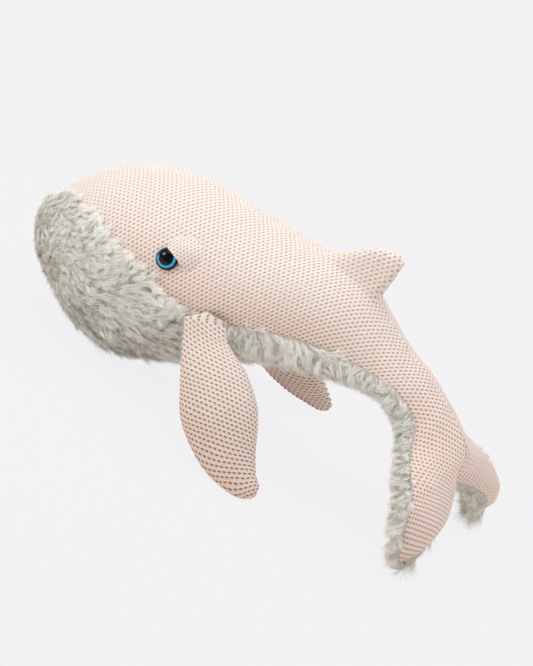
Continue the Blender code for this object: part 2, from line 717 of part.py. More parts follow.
def flipper_grid(table, sign, first, last, inset, cols, seam_gap):
    """Rows from the rounded root to the tip, over half a turn of the section."""
    places = np.concatenate([np.arange(0, len(table) - 1.4, 0.5), [len(table) - 1.1]])
    turn = np.tile(np.linspace(first, last, cols), (len(places), 1))
    ease = seam_gap * np.sign(last - first)
    turn[:, 0] += ease / (table[0, 3] * FLIPPER_WIDTH)
    turn[:, -1] -= ease / (table[0, 3] * FLIPPER_WIDTH)
    points, run, across, outward = flipper_points(table, places, turn, inset)
    radius = table[0, 4] * FLIPPER_DEPTH - inset
    back = run[0] - (run[0] @ across[0]) * across[0]
    back /= np.linalg.norm(back)
    caps = []
    for angle in ROOT_CAP_TURNS:
        root = points[0] - back * radius * math.sin(angle)
        off = ((points[0] - points[0, [0, -1]].mean(0)) @ outward[0])[:, None] * outward[0]
        caps.append(root - off * (1 - math.cos(angle)))
    points = np.concatenate([np.array(caps), points])
    return points * np.array([1, -sign, 1])


def root_hinge(side_name, sign):
    """An empty on the line that the flipper swings about, with its X axis along it."""
    hinge = bpy.data.objects.new("flipper_root_hinge_" + side_name, None)
    bpy.context.scene.collection.objects.link(hinge)
    line = Vector((sign * ROOT_LINE.x, -ROOT_LINE.y, sign * ROOT_LINE.z))
    hinge.matrix_world = (Matrix.Translation((FLIPPER_ROOT_X, sign * FLIPPER_ROOT_Y, FLIPPER_ROOT_Z))
                          @ line.to_track_quat("X", "Z").to_matrix().to_4x4())
    return hinge


def flipper(side_name, sign, shares):
    table = np.array(shares)
    pieces = []
    for panel, first, last in (("outer", 0, math.pi), ("inner", math.pi, 2 * math.pi)):
        outer = flipper_grid(table, sign, first, last, 0.0, 9, FIT_GAP)
        inner = flipper_grid(table, sign, first, last, FLIPPER_WALL, 9, FIT_GAP)
        pieces.append(shell("flipper_" + panel + "_" + side_name, outer, inner, KNIT))
    places = np.arange(0.5, len(table) - 1.6, 0.5)
    turn = np.tile(np.linspace(0, 2 * math.pi, 16, endpoint=False), (len(places), 1))
    rings = flipper_points(table, places, turn, FLIPPER_WALL + STUFFING_GAP / 2)[0]
    rings = rings * np.array([1, -sign, 1])
    pieces.append(tube("flipper_stuffing_" + side_name, rings, FILL))
    hinge = root_hinge(side_name, sign)
    for piece in pieces:
        piece.parent = hinge
        piece.matrix_parent_inverse = hinge.matrix_world.inverted()


flipper("left", -1, LEFT_FLIPPER_SHARES)
flipper("right", 1, RIGHT_FLIPPER_SHARES)
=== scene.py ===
"""Looks of the plush whale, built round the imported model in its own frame.

Metres, +Z up, head to -X, the whale's left side to -Y. It lies on its chin and fluke tips.
"""
import math

import bmesh
import bpy
import numpy as np
from mathutils import Matrix, Vector
from mathutils.kdtree import KDTree


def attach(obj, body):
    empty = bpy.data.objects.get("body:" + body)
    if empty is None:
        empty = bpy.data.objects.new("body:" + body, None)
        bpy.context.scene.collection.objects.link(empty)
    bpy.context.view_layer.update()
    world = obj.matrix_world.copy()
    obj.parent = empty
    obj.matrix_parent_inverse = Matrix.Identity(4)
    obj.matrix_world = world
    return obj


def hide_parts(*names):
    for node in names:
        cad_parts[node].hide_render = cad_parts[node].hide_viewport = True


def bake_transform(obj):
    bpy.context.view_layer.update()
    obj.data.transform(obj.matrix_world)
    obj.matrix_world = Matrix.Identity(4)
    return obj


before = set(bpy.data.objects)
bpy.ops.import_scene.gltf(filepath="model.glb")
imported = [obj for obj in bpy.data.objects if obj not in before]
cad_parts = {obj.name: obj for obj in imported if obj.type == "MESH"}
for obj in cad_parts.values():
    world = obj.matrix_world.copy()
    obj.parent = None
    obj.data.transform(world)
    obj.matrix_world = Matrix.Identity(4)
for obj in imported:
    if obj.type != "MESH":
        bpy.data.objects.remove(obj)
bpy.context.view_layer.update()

# The body: one smooth stuffed form, fat at the head and bent down at the tail, that all the
# cloth pieces are cut to fit. Each row is a section across it, and the flukes carry on from
# the last one with a trailing and a leading edge.
BODY_LENGTH = 0.500
BODY_HEIGHT = 0.200
BODY_WIDTH = 0.168
CHIN_AHEAD = 0.129
FLUKE_SPAN = 0.218
FLUKE_REACH = 0.066
TAIL_ROOT_X = 0.320
TAIL_ROOT_Z = 0.093
FIN_HEIGHT = 0.043
FIN_CREST = 0.011

# Centre along, centre height, half width, rise, drop, lean in degrees, seam from the top, pile
BODY_SHARES = (
    (-0.232, 0.420, 0.000, 0.000, 0.000, 0, 0.000, 0.40),
    (-0.226, 0.420, 0.101, 0.080, 0.080, 0, 0.200, 0.40),
    (-0.207, 0.424, 0.196, 0.165, 0.145, 0, 0.205, 0.42),
    (-0.175, 0.432, 0.304, 0.268, 0.220, 0, 0.255, 0.45),
    (-0.128, 0.442, 0.399, 0.368, 0.300, 0, 0.320, 0.52),
    (-0.064, 0.460, 0.466, 0.440, 0.388, 0, 0.378, 0.72),
    (0.010, 0.490, 0.500, 0.462, 0.430, 0, 0.430, 1.00),
    (0.090, 0.520, 0.494, 0.442, 0.395, 3, 0.480, 1.00),
    (0.166, 0.580, 0.470, 0.385, 0.355, 6, 0.545, 1.00),
    (0.240, 0.635, 0.429, 0.340, 0.305, 9, 0.562, 1.00),
    (0.304, 0.665, 0.381, 0.322, 0.255, 13, 0.545, 0.95),
    (0.362, 0.670, 0.333, 0.295, 0.208, 18, 0.510, 0.90),
    (0.414, 0.645, 0.286, 0.250, 0.145, 24, 0.450, 0.75),
    (0.477, 0.632, 0.236, 0.184, 0.100, 29, 0.420, 0.50),
    (0.543, 0.610, 0.205, 0.147, 0.085, 34, 0.400, 0.42),
    (0.594, 0.532, 0.202, 0.155, 0.085, 39, 0.405, 0.50),
)
# Trailing point, leading point, rise, drop, how far the section is joined to the other
# fluke, then lean, seam and pile
FLUKE_SHARES = (
    ((0.000, 0.000, 0.000), (-0.182, 0.423, 0.060), 0.150, 0.085, 0.95, 44, 0.400, 0.55),
    ((0.258, 0.000, 0.108), (0.000, 0.630, 0.140), 0.128, 0.080, 0.70, 46, 0.405, 0.65),
    ((0.439, 0.000, 0.225), (0.227, 0.820, 0.260), 0.103, 0.065, 0.00, 46, 0.412, 0.75),
    ((0.662, 0.257, 0.300), (0.409, 0.950, 0.420), 0.090, 0.055, 0.00, 44, 0.420, 0.85),
    ((0.825, 0.505, 0.420), (0.540, 0.985, 0.605), 0.080, 0.045, 0.00, 42, 0.430, 1.05),
    ((0.838, 0.690, 0.590), (0.640, 0.975, 0.775), 0.060, 0.040, 0.00, 40, 0.440, 1.20),
    ((0.800, 0.830, 0.690), (0.670, 0.945, 0.800), 0.040, 0.048, 0.00, 40, 0.450, 1.55),
    ((0.725, 0.915, 0.775), (0.725, 0.915, 0.775), 0.000, 0.000, 0.00, 40, 0.450, 0.75),
)
# Dorsal fin: place along the back and height
FIN_SHARES = (
    (0.292, 0.00), (0.316, 0.19), (0.336, 0.47), (0.354, 0.72), (0.374, 0.91),
    (0.394, 1.00), (0.406, 0.95), (0.412, 0.56), (0.418, 0.09), (0.424, 0.00),
)
LAST_BODY = len(BODY_SHARES) - 1
FLUKE_START = LAST_BODY + 1.0
TIP = float(LAST_BODY + len(FLUKE_SHARES))
NORMAL_STEP = 0.01
END_CLEAR = 0.02
TRAILING_EDGE_SHARE = 0.9


def form_table():
    """The two tables in metres, with the body's rows as flukes that are still joined."""
    rows = []
    for x, z, half, up, down, lean, seam, pile in BODY_SHARES:
        cx = x * BODY_LENGTH - CHIN_AHEAD
        cz = z * BODY_HEIGHT
        rows.append((cx, 0.0, cz, cx, -half * BODY_WIDTH, cz,
                     up * BODY_HEIGHT, down * BODY_HEIGHT, 1.0, lean, seam, pile))
    for back, lead, up, down, joined, lean, seam, pile in FLUKE_SHARES:
        row = []
        for point in (back, lead):
            row.append(TAIL_ROOT_X - CHIN_AHEAD + point[0] * FLUKE_REACH)
            row.append(-point[1] * FLUKE_SPAN / 2)
            row.append(TAIL_ROOT_Z * (1 - point[2]))
        rows.append((*row, up * BODY_HEIGHT, down * BODY_HEIGHT, joined, lean, seam, pile))
    return np.array(rows)


FORM = form_table()


def smooth(table, place):
    """A smooth curve through the table's rows, read at each place."""
    place = np.asarray(place, float)
    last = len(table) - 1
    i = np.clip(np.floor(place).astype(int), 0, last - 1)
    f = (place - i)[:, None]
    p1 = table[i]
    p2 = table[i + 1]
    p0 = np.where((i > 0)[:, None], table[np.maximum(i - 1, 0)], 2 * p1 - p2)
    p3 = np.where((i < last - 1)[:, None], table[np.minimum(i + 2, last)], 2 * p2 - p1)
    bend = 2 * p0 - 5 * p1 + 4 * p2 - p3
    turn = 3 * p1 - p0 - 3 * p2 + p3
    return 0.5 * (2 * p1 + (p2 - p0) * f + bend * f**2 + turn * f**3)


def fin_rise(along):
    """How high the dorsal fin stands over the back at a place along it."""
    places = np.array([share[0] for share in FIN_SHARES]) * BODY_LENGTH - CHIN_AHEAD
    heights = np.array([share[1] for share in FIN_SHARES]) * FIN_HEIGHT
    return np.interp(along, places, heights)


def body_points(place, around, fin=True):
    """Left side of the body: around runs 0 at the top, 0.5 at the side, 1 at the bottom."""
    row = smooth(FORM, place)
    middle = row[:, 0:3]
    middle[:, 1] = np.minimum(middle[:, 1], 0)
    chord = row[:, 3:6] - middle
    up = np.maximum(row[:, 6], 0)
    down = np.maximum(row[:, 7], 0)
    joined = np.clip(row[:, 8], 0, 1)[:, None]
    lean = np.radians(row[:, 9])
    reach = np.linalg.norm(chord, axis=1)
    side = chord / np.maximum(reach, 1e-9)[:, None]
    side[reach < 1e-6] = (0, -1, 0)
    sole = np.stack([np.sin(lean), 0 * lean, np.cos(lean)], 1)
    rise = sole - (sole * side).sum(1)[:, None] * side
    rise /= np.linalg.norm(rise, axis=1)[:, None]
    centre = 0.5 * (1 - joined)
    half = np.where(around < 0.5, around * 2, (1 - around) * 2)
    edge = TRAILING_EDGE_SHARE * centre
    behind = half < edge
    turn_back = np.where(behind, 1 - half / np.maximum(edge, 1e-9), 0) * np.pi / 2
    turn_front = np.where(behind, 0, (half - edge) / (1 - edge)) * np.pi / 2
    across = np.where(behind, centre * (1 - np.sin(turn_back)),
                      centre + (1 - centre) * np.sin(turn_front))
    height = np.where(behind,
                      np.sqrt(np.clip(1 - (1 - joined**2) * np.sin(turn_back)**2, 0, 1)),
                      np.cos(turn_front))
    height = height * np.where(around < 0.5, up[:, None], -down[:, None])
    if fin:
        ridge = np.where(place < LAST_BODY, fin_rise(middle[:, 0] + up * np.sin(lean)), 0)
        crest = np.exp(-(reach[:, None] * across / FIN_CREST)**4) * (around < 0.5)
        height = height + ridge[:, None] * crest
    upright = np.clip(joined * 4, 0, 1) * (1 - across)**2
    lift = rise[:, None] + (sole - rise)[:, None] * upright[..., None]
    return (middle[:, None] + side[:, None] * (reach[:, None] * across)[..., None]
            + lift * height[..., None])


def body_normals(place, around, fin=True):
    """Unit normals of the skin, which have no sideways part on the body's middle line."""
    ahead = np.clip(place - NORMAL_STEP, END_CLEAR, TIP - END_CLEAR)
    after = np.maximum(np.clip(place + NORMAL_STEP, END_CLEAR, TIP - END_CLEAR),
                       ahead + NORMAL_STEP)
    low = np.clip(around - NORMAL_STEP, 0, 1)
    high = np.clip(around + NORMAL_STEP, 0, 1)
    inner = np.clip(place, 0.05, TIP - 0.05)
    along = body_points(after, around, fin) - body_points(ahead, around, fin)
    about = body_points(inner, high, fin) - body_points(inner, low, fin)
    normal = np.cross(about, along)
    on_middle = (around < 1e-6) | (around > 1 - 1e-6)
    on_body = (place < FLUKE_START - 0.5)[:, None] & on_middle
    normal[..., 1] = np.where(on_body, 0, normal[..., 1])
    return normal / np.maximum(np.linalg.norm(normal, axis=2), 1e-12)[..., None]


def seam_at(place):
    """Where the knit meets the fur, from the top (0) to the bottom (1)."""
    seam = smooth(FORM, place)[:, 10]
    return np.where(place < 1, np.sqrt(np.clip((place - 0.5) * 2, 0, 1)) * FORM[1, 10], seam)


def even_places(first, last, pitch, around):
    """Places from first to last that lie one pitch apart along the body's side."""
    fine = np.linspace(first, last, 600)
    line = body_points(fine, np.full((600, 1), around), fin=False)[:, 0]
    run = np.concatenate([[0], np.cumsum(np.linalg.norm(np.diff(line, axis=0), axis=1))])
    return np.interp(np.linspace(0, run[-1], int(run[-1] / pitch) + 2), run, fine)


def cloth(name, points, coordinates, material):
    """A sheet through a grid of points, with the pattern's coordinates as its UV map."""
    rows, cols = points.shape[:2]
    mesh = bpy.data.meshes.new(name)
    corner = (np.arange(rows - 1)[:, None] * cols + np.arange(cols - 1)).ravel()
    faces = np.stack([corner, corner + 1, corner + cols + 1, corner + cols], 1)
    mesh.vertices.add(rows * cols)
    mesh.vertices.foreach_set("co", points.astype(np.float32).ravel())
    mesh.loops.add(faces.size)
    mesh.loops.foreach_set("vertex_index", faces.astype(np.int32).ravel())
    mesh.polygons.add(len(faces))
    mesh.polygons.foreach_set("loop_start", np.arange(0, faces.size, 4, dtype=np.int32))
    mesh.update(calc_edges=True)
    layer = mesh.uv_layers.new(name="pattern")
    at_corners = coordinates.reshape(-1, 2)[faces.ravel()]
    layer.data.foreach_set("uv", at_corners.astype(np.float32).ravel())
    mesh.shade_smooth()
    mesh.materials.append(material)
    piece = bpy.data.objects.new(name, mesh)
    bpy.context.scene.collection.objects.link(piece)
    return piece


def grid_normals(points):
    """Unit normals of a grid whose rows run along the piece and columns across it."""
    normal = np.cross(np.gradient(points, axis=1), np.gradient(points, axis=0))
    return normal / np.maximum(np.linalg.norm(normal, axis=2), 1e-12)[..., None]


def to_side(points, sign):
    """A left half turned to its own side: sign is -1 on the left and +1 on the right."""
    return points * np.array([1.0, -sign, 1.0])


SIDES = (("left", -1), ("right", 1))

# The knit back: two panels of a cream honeycomb knit, sewn to each other along the back and
# to the fur along the flanks. Each is cut in one with half of the fin and the top of a fluke,
# so its rows of holes run on without a break from the snout to the fluke tip.
KNIT_START = 0.56
KNIT_MIDDLE = 9.0
KNIT_PITCH = 0.00085
CELL_LENGTH = 0.0046
ROW_SPACING = 0.0040
HOLE_DEPTH = 0.0005
LOOP_RISE = 0.0003
MID_SEAM_WIDTH = 0.0011
MID_SEAM_DEPTH = 0.0007
YARN = (0.895, 0.815, 0.732)
# Painted shade: the rose tint stands for the shade far back, low down and round the holes.
YARN_ROSY_SHADE = (0.885, 0.712, 0.632)
# Painted shade: the holes' tan stands for the shade inside them.
HOLE_SHADE_TAN = (0.50, 0.300, 0.185)
HOLE_REACH = 0.00140
OPEN_REACH = 0.00165
HOLE_BREADTH = 0.00078
HOLE_TURN = math.radians(57)
TAIL_SHADE_CELLS = (55.0, 120.0)
FLIPPER_SHADE_CELLS = (0.0, 42.0)
LOW_SHADE_ROWS = (0.0, 17.0)
YARN_GLINT = (1.0, 0.96, 0.91)
YARN_SHADE = (0.66, 0.50, 0.42)
# Painted shade: the flippers' knit is a darker copy of the cream, pinker toward the tip, with
# larger, darker holes.
SHADED_OPEN_YARN = (0.840, 0.735, 0.650)
OPEN_YARN_ROSY_SHADE = (0.76, 0.615, 0.525)
OPEN_HOLE_SHADE_TAN = (0.34, 0.200, 0.120)
FINE_YARN = (0.89, 0.810, 0.745)
FINE_HOLE_SHADE_TAN = (0.48, 0.29, 0.20)
KNIT_END = TIP - 0.03
KNIT_SEAM_LAP = 0.004
MID_SEAM_CLOSE = 0.0035
KNIT_FLOOR_LIFT = 0.0002


class Thread:
    """One value inside a finish: sums and comparisons on it add the nodes that work them out."""

    def __init__(self, finish, socket):
        self.finish = finish
        self.socket = socket

    def math(self, operation, *values):
        return self.finish.node("ShaderNodeMath", {"operation": operation},
                                dict(enumerate(values)))

    def __add__(self, other):
        return self.math("ADD", self, other)

    def __radd__(self, other):
        return self.math("ADD", other, self)

    def __sub__(self, other):
        return self.math("SUBTRACT", self, other)

    def __rsub__(self, other):
        return self.math("SUBTRACT", other, self)

    def __mul__(self, other):
        return self.math("MULTIPLY", self, other)

    def __rmul__(self, other):
        return self.math("MULTIPLY", other, self)

    def __truediv__(self, other):
        return self.math("DIVIDE", self, other)

    def __mod__(self, other):
        return self.math("FLOORED_MODULO", self, other)

    def __pow__(self, other):
        return self.math("POWER", self, other)

    def floor(self):
        return self.math("FLOOR", self)

    def wave(self):
        return self.math("SINE", self)

    def between(self, low, high):
        """0 below low, 1 above high and a smooth step from one to the other."""
        return self.finish.node("ShaderNodeMapRange", {"interpolation_type": "SMOOTHSTEP"},
                                {0: self, 1: low, 2: high})


class Finish:
    """A material on Blender's Principled shader, built up one node at a time."""

    def __init__(self, name, **plain):
        self.material = bpy.data.materials.new(name)
        self.material.use_nodes = True
        self.tree = self.material.node_tree
        self.shader = self.tree.nodes["Principled BSDF"]
        self.set(**plain)

    def put(self, socket, value):
        if isinstance(value, Thread):
            self.tree.links.new(value.socket, socket)
        elif isinstance(value, tuple) and len(value) == 3 and socket.type == "RGBA":
            socket.default_value = (*value, 1.0)
        else:
            socket.default_value = value

    def node(self, kind, settings=None, values=None, out=0):
        """Adds any node: its settings first, then the values or links of its sockets."""
        made = self.tree.nodes.new(kind)
        for key, value in (settings or {}).items():
            if key == "stops":
                for index, (at, colour) in enumerate(value):
                    stop = (made.color_ramp.elements[index] if index < 2
                            else made.color_ramp.elements.new(at))
                    stop.position = at
                    stop.color = (*colour, 1.0)
            else:
                setattr(made, key, value)
        for key, value in (values or {}).items():
            self.put(made.inputs[key], value)
        return Thread(self, made.outputs[out])

    def set(self, **inputs):
        """Puts values on the shader's own sockets, with _ for the spaces in their names."""
        for key, value in inputs.items():
            self.put(self.shader.inputs[key.replace("_", " ")], value)

    def blend(self, factor, first, second, kind="MIX"):
        return self.node("ShaderNodeMix", {"data_type": "RGBA", "blend_type": kind},
                         {0: factor, 6: first, 7: second}, out=2)

    def noise(self, scale, detail):
        return self.node("ShaderNodeTexNoise", None, {"Scale": scale, "Detail": detail})

    def bump(self, height, distance, strength):
        self.set(Normal=self.node("ShaderNodeBump", None, {
            "Strength": strength, "Distance": distance, "Height": height}))

    def pattern(self, name):
        """The two coordinates of a UV map."""
        made = self.node("ShaderNodeUVMap", {"uv_map": name})
        return (self.node("ShaderNodeSeparateXYZ", None, {0: made}),
                self.node("ShaderNodeSeparateXYZ", None, {0: made}, out=1))


def knit_relief(cells):
    """How far the knit stands out at a place in its pattern: loops between sunken holes."""
    row = np.floor(cells[..., 1])
    along = ((cells[..., 0] + 0.5 * (row % 2)) % 1.0 - 0.5) * CELL_LENGTH
    across = (cells[..., 1] - row - 0.5) * ROW_SPACING
    reach = (along * math.cos(HOLE_TURN) - across * math.sin(HOLE_TURN)) / HOLE_REACH
    breadth = (along * math.sin(HOLE_TURN) + across * math.cos(HOLE_TURN)) / HOLE_BREADTH
    far = reach**2 + breadth**2
    return LOOP_RISE * np.clip(far / 4, 0, 1) - HOLE_DEPTH * np.exp(-far**1.5)


def knit_finish(name, tint=YARN, hole_shade_tint=HOLE_SHADE_TAN, hole_shade_strength=0.68, hole_reach=HOLE_REACH,
                rosy_shade_tint=YARN_ROSY_SHADE, rosy_shade_cells=TAIL_SHADE_CELLS):
    """The knit's colour: cream, with painted shade: pinker far back, low down and round the holes,
    and tan holes.
    """
    look = Finish(name, Roughness=0.92, Sheen_Weight=0.12, Sheen_Roughness=0.5,
                  Specular_IOR_Level=0.15)
    length, rows = look.pattern("pattern")
    row = rows.floor()
    along = ((length + 0.5 * (row % 2.0)) % 1.0 - 0.5) * CELL_LENGTH
    across = (rows - row - 0.5) * ROW_SPACING
    reach = (along * math.cos(HOLE_TURN) - across * math.sin(HOLE_TURN)) / hole_reach
    breadth = (along * math.sin(HOLE_TURN) + across * math.cos(HOLE_TURN)) / HOLE_BREADTH
    far = reach ** 2.0 + breadth ** 2.0 + look.noise(330.0, 1.0) * 0.9 - 0.45
    # Painted shade: the knit is made pinker toward the tail and lower down.
    rosy_shade = length.between(*rosy_shade_cells) * 0.7 + rows.between(*LOW_SHADE_ROWS) * 0.8
    hole = 1.0 - (far - rosy_shade * 0.35).between(0.35, 1.35)
    rim = 1.0 - far.between(1.0, 3.4)
    ply = ((length * 2.0 - rows * 3.0) * (2 * math.pi)).wave() * 0.5 + 0.5
    yarn = look.blend((rosy_shade + look.noise(14.0, 3.0) * 0.2).between(0.0, 1.0), tint, rosy_shade_tint)
    # Painted shade: a pinker rim round each hole, and along the yarn's plies.
    yarn = look.blend(rim * 0.42 + ply * 0.12, yarn, YARN_ROSY_SHADE)
    speck = look.noise(1050.0, 1.0)
    yarn = look.blend(speck.between(0.5, 0.75) * 0.45, yarn, YARN_GLINT)
    yarn = look.blend(speck.between(0.5, 0.25) * 0.40, yarn, YARN_SHADE)
    # Painted shade: the holes are coloured tan, and darker where the knit is painted pinker.
    look.set(Base_Color=look.blend(hole * (rosy_shade * 0.22 + hole_shade_strength), yarn, hole_shade_tint))
    fibre = look.noise(2200.0, 2.0)
    look.bump(ply * 0.3 + fibre * 0.45 - hole, HOLE_DEPTH, 0.85)
    return look.material


KNIT = knit_finish("cream_honeycomb_knit")
# The flippers' knit: a shaded copy with painted shade, darker than the body's.
OPEN_SHADED_KNIT = knit_finish("open_shaded_cream_knit", SHADED_OPEN_YARN, OPEN_HOLE_SHADE_TAN, 0.85, OPEN_REACH,
                        OPEN_YARN_ROSY_SHADE, FLIPPER_SHADE_CELLS)
FINE_KNIT = knit_finish("fine_cream_knit", FINE_YARN, FINE_HOLE_SHADE_TAN, 0.85)


def pattern_line():
    """Length along the panel's middle line, read at each place."""
    places = np.linspace(KNIT_START, TIP - END_CLEAR, 500)
    middle = body_points(places, np.full((500, 1), 0.25), fin=False)[:, 0]
    step = np.linalg.norm(np.diff(middle, axis=0), axis=1)
    return places, np.concatenate([[0], np.cumsum(step)])


FLAT_PLACES, FLAT_RUN = pattern_line()


def flat_pattern(places, points, around):
    """Cell coordinates of the knit over the body: along the row, then the row's number."""
    step = np.linalg.norm(np.diff(points, axis=1), axis=2)
    arc = np.concatenate([np.zeros((len(points), 1)), np.cumsum(step, axis=1)], 1)
    middle = np.array([np.interp(0.25, a, line) for a, line in zip(around, arc)])[:, None]
    run = np.interp(places, FLAT_PLACES, FLAT_RUN)[:, None] + 0 * arc
    return np.stack([run / CELL_LENGTH, (arc - middle) / ROW_SPACING], -1)


def back_piece(name, sign, first, last, widest_place):
    """One panel's knit from place to place, with as many columns as its widest row needs."""
    places = even_places(first, last, KNIT_PITCH, 0.3)
    seam = seam_at(places) + KNIT_SEAM_LAP
    widest = body_points(np.array([widest_place]), np.linspace(0, 1, 41)[None, :] * 0.5,
                         fin=False)
    arc = np.linalg.norm(np.diff(widest, axis=1), axis=2).sum(1).max()
    cols = int(arc / KNIT_PITCH)
    around = np.linspace(0, 1, cols)[None, :] * seam[:, None]
    points = body_points(places, around)
    cells = flat_pattern(places, points, around)
    relief = knit_relief(cells)
    groove = -MID_SEAM_DEPTH * np.exp(-(points[..., 1] / MID_SEAM_WIDTH)**2)
    joined = (places < FLUKE_START + 1)[:, None]
    edge = np.clip((1 - around / seam[:, None]) * cols / 3, 0, 1)
    lift = relief * edge + groove * joined
    points = points + grid_normals(points) * lift[..., None]
    points[..., 1] = np.minimum(points[..., 1], 0)
    points[:, 0, 1] *= points[:, 0, 1] < -MID_SEAM_CLOSE
    points[..., 2] = np.maximum(points[..., 2], KNIT_FLOOR_LIFT)
    return cloth(name, to_side(points, sign), cells, KNIT)


for side_name, sign in SIDES:
    head_knit = back_piece("back_knit_" + side_name, sign, KNIT_START, KNIT_MIDDLE, 7.0)
    tail_knit = back_piece("tail_knit_" + side_name, sign, KNIT_MIDDLE, KNIT_END, 10.0)
    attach(head_knit, "whale")
    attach(tail_knit, "whale")
    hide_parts("back_panel_" + side_name)
    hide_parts("back_panel_" + side_name)

# The fur: grey long pile on a knitted backing, cut as a chin panel, a belly panel and the
# undersides of the two flukes. The pile is combed back and away from the seam and clings
# together in wavy tufts, darker at the roots and pale at the ends.
CHIN_END = 8.0
PILE = 0.0150
SEAM_PILE = 0.0085
STRAND_LENGTH = 0.0205
STRAND_WIDTH = 0.00027
TUFT_SPACING = 0.0040
STRANDS_PER_MM2 = 2.4
TUFT_GATHER_SHARE = 0.60
LOOSE_SHARE = 0.40
STRAND_STEPS = (0.0, 0.26, 0.52, 0.78, 1.0)
STRAND_TAPER = (0.5, 0.5, 0.44, 0.32)
UNDERFUR_SHARE = 0.33
UNDERFUR_PITCH = 0.0022
UNDERFUR_DEEP = (0.74, 0.69, 0.60)
UNDERFUR_PALE = (0.90, 0.88, 0.81)
RUFFLE = 0.0007
BARE_EDGE_SHARE = 0.97
STRAND_START = 22
STRAND_FINISH = 104
SWIRL_SHARE = 0.42
SWIRL_LESS_AT_FLUKE = 0.30
HEADING_SPREAD = 0.30
LIFT_SPREAD = 11
SHADE_SPREAD = 0.045
STRAY_SPREAD = 0.10
TUFT_SIZES = (0.75, 1.12)
TUFT_SWAY = (0.03, 0.11)
TUFT_CURL = (3.0, 6.5)
STRAND_SIZES = (0.55, 1.12)
# How far the pile is combed away from the seam, at shares from the seam to the middle
FACE_COMB = ((0.0, 0.12, 0.30, 1.0), (-0.22, -0.10, 0.0, 0.15))
BELLY_COMB = ((0.0, 0.08, 0.25, 1.0), (0.15, 0.50, 0.80, 0.80))
FLUKE_COMB = ((0.0, 0.15, 0.50, 0.75, 1.0), (0.35, 0.6, 0.0, -0.6, -0.55))
TONE_ALONG = ((8, 9, 11, 13, 16), (1.0, 1.07, 1.04, 0.93, 0.90))
TRAILING_PILE_SHARE = 0.15
TRAILING_START_SHARE = 0.80
FLOOR_LIFT = 0.0003
FUR_STOPS = ((0.0, (0.70, 0.655, 0.575)), (0.30, (0.85, 0.835, 0.765)),
             (0.62, (0.92, 0.93, 0.88)), (1.0, (0.96, 0.975, 0.95)))
FLIPPER_SPAN_PLACES = (7.85, 9.35)
FUR_SPANS = (("snout_fur", 0.1, 4.6), ("chin_fur", 4.6, 6.3), ("throat_fur", 6.3, CHIN_END),
             ("belly_fur", CHIN_END, 10.6), ("tail_fur", 10.6, FLUKE_START),
             ("fluke_fur", FLUKE_START, TIP - 0.15))
rng = np.random.default_rng(7)


def fur_finish():
    look = Finish("grey_long_pile", Roughness=0.62, Specular_IOR_Level=0.35,
                  Sheen_Weight=0.25, Sheen_Roughness=0.45)
    tone, length = look.pattern("OFBake")
    grey = look.node("ShaderNodeValToRGB", {"stops": FUR_STOPS}, {0: length})
    shade = look.node("ShaderNodeCombineColor", None, {
        0: tone, 1: tone * (0.955 + tone * 0.03), 2: tone * (0.80 + tone * 0.16)})
    look.set(Base_Color=look.blend(1.0, grey, shade, "MULTIPLY"))
    return look.material


def underfur_finish():
    look = Finish("underfur", Roughness=0.95)
    tuft = look.noise(160.0, 4.0).between(0.3, 0.75)
    look.set(Base_Color=look.blend(tuft, UNDERFUR_DEEP, UNDERFUR_PALE))
    look.bump(look.noise(420.0, 4.0), 0.002, 0.9)
    return look.material


FUR = fur_finish()
UNDERFUR = underfur_finish()


def pile_at(places, share):
    """Height of the pile: low along the seam and under the flippers."""
    low = 1 - np.sin(np.clip(share * 5, 0, 1) * np.pi / 2)
    low = low * np.clip((places - 0.5) * 2, 0, 1)
    first, last = FLIPPER_SPAN_PLACES
    under = np.clip(1 - np.abs((places - (first + last) / 2) / ((last - first) / 2))**6, 0, 1)
    under = under * np.clip((0.55 - share) * 5, 0, 1)
    trailing = np.clip((share - TRAILING_START_SHARE) / (1 - TRAILING_START_SHARE), 0, 1)
    trailing = trailing * np.clip(places - FLUKE_START, 0, 1)
    full = smooth(FORM, np.ravel(places))[:, 11].reshape(np.shape(places))
    full = full * (1 - (1 - TRAILING_PILE_SHARE) * trailing)
    return (PILE - (PILE - SEAM_PILE) * np.maximum(low, under)) * full


def underfur(name, sign, first, last, node):
    """The matted layer between the strands, which thins out at its edges."""
    places = even_places(first, last, UNDERFUR_PITCH, 0.6)
    seam = seam_at(places)
    share = np.tile(np.linspace(0, 1, 60), (len(places), 1))
    around = seam[:, None] + (1 - seam[:, None]) * share
    points = body_points(places, around, fin=False)
    height = pile_at(places[:, None], share) * UNDERFUR_SHARE
    at_fluke = np.clip(places - FLUKE_START + 1, 0, 1)[:, None]
    edge = np.clip(share / 0.10, 0, 1) * (1 - at_fluke * np.clip((share - 0.85) / 0.15, 0, 1))
    height = height * (0.12 + 0.88 * edge)
    ruffle = (np.sin(points[..., 0] * 900 + 3 * np.sin(points[..., 1] * 300))
              * np.sin(points[..., 1] * 700 + points[..., 2] * 800) * RUFFLE)
    lift = height + ruffle * np.clip(share * 8, 0, 1) * np.clip((1 - share) * 8, 0, 1)
    points = points + body_normals(places, around, fin=False) * lift[..., None]
    points[..., 1] = np.minimum(points[..., 1], 0)
    points[..., 2] = np.maximum(points[..., 2], FLOOR_LIFT)
    piece = cloth(name, to_side(points, sign), np.stack([share, share], -1), UNDERFUR)
    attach(piece, "whale")
    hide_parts(node)


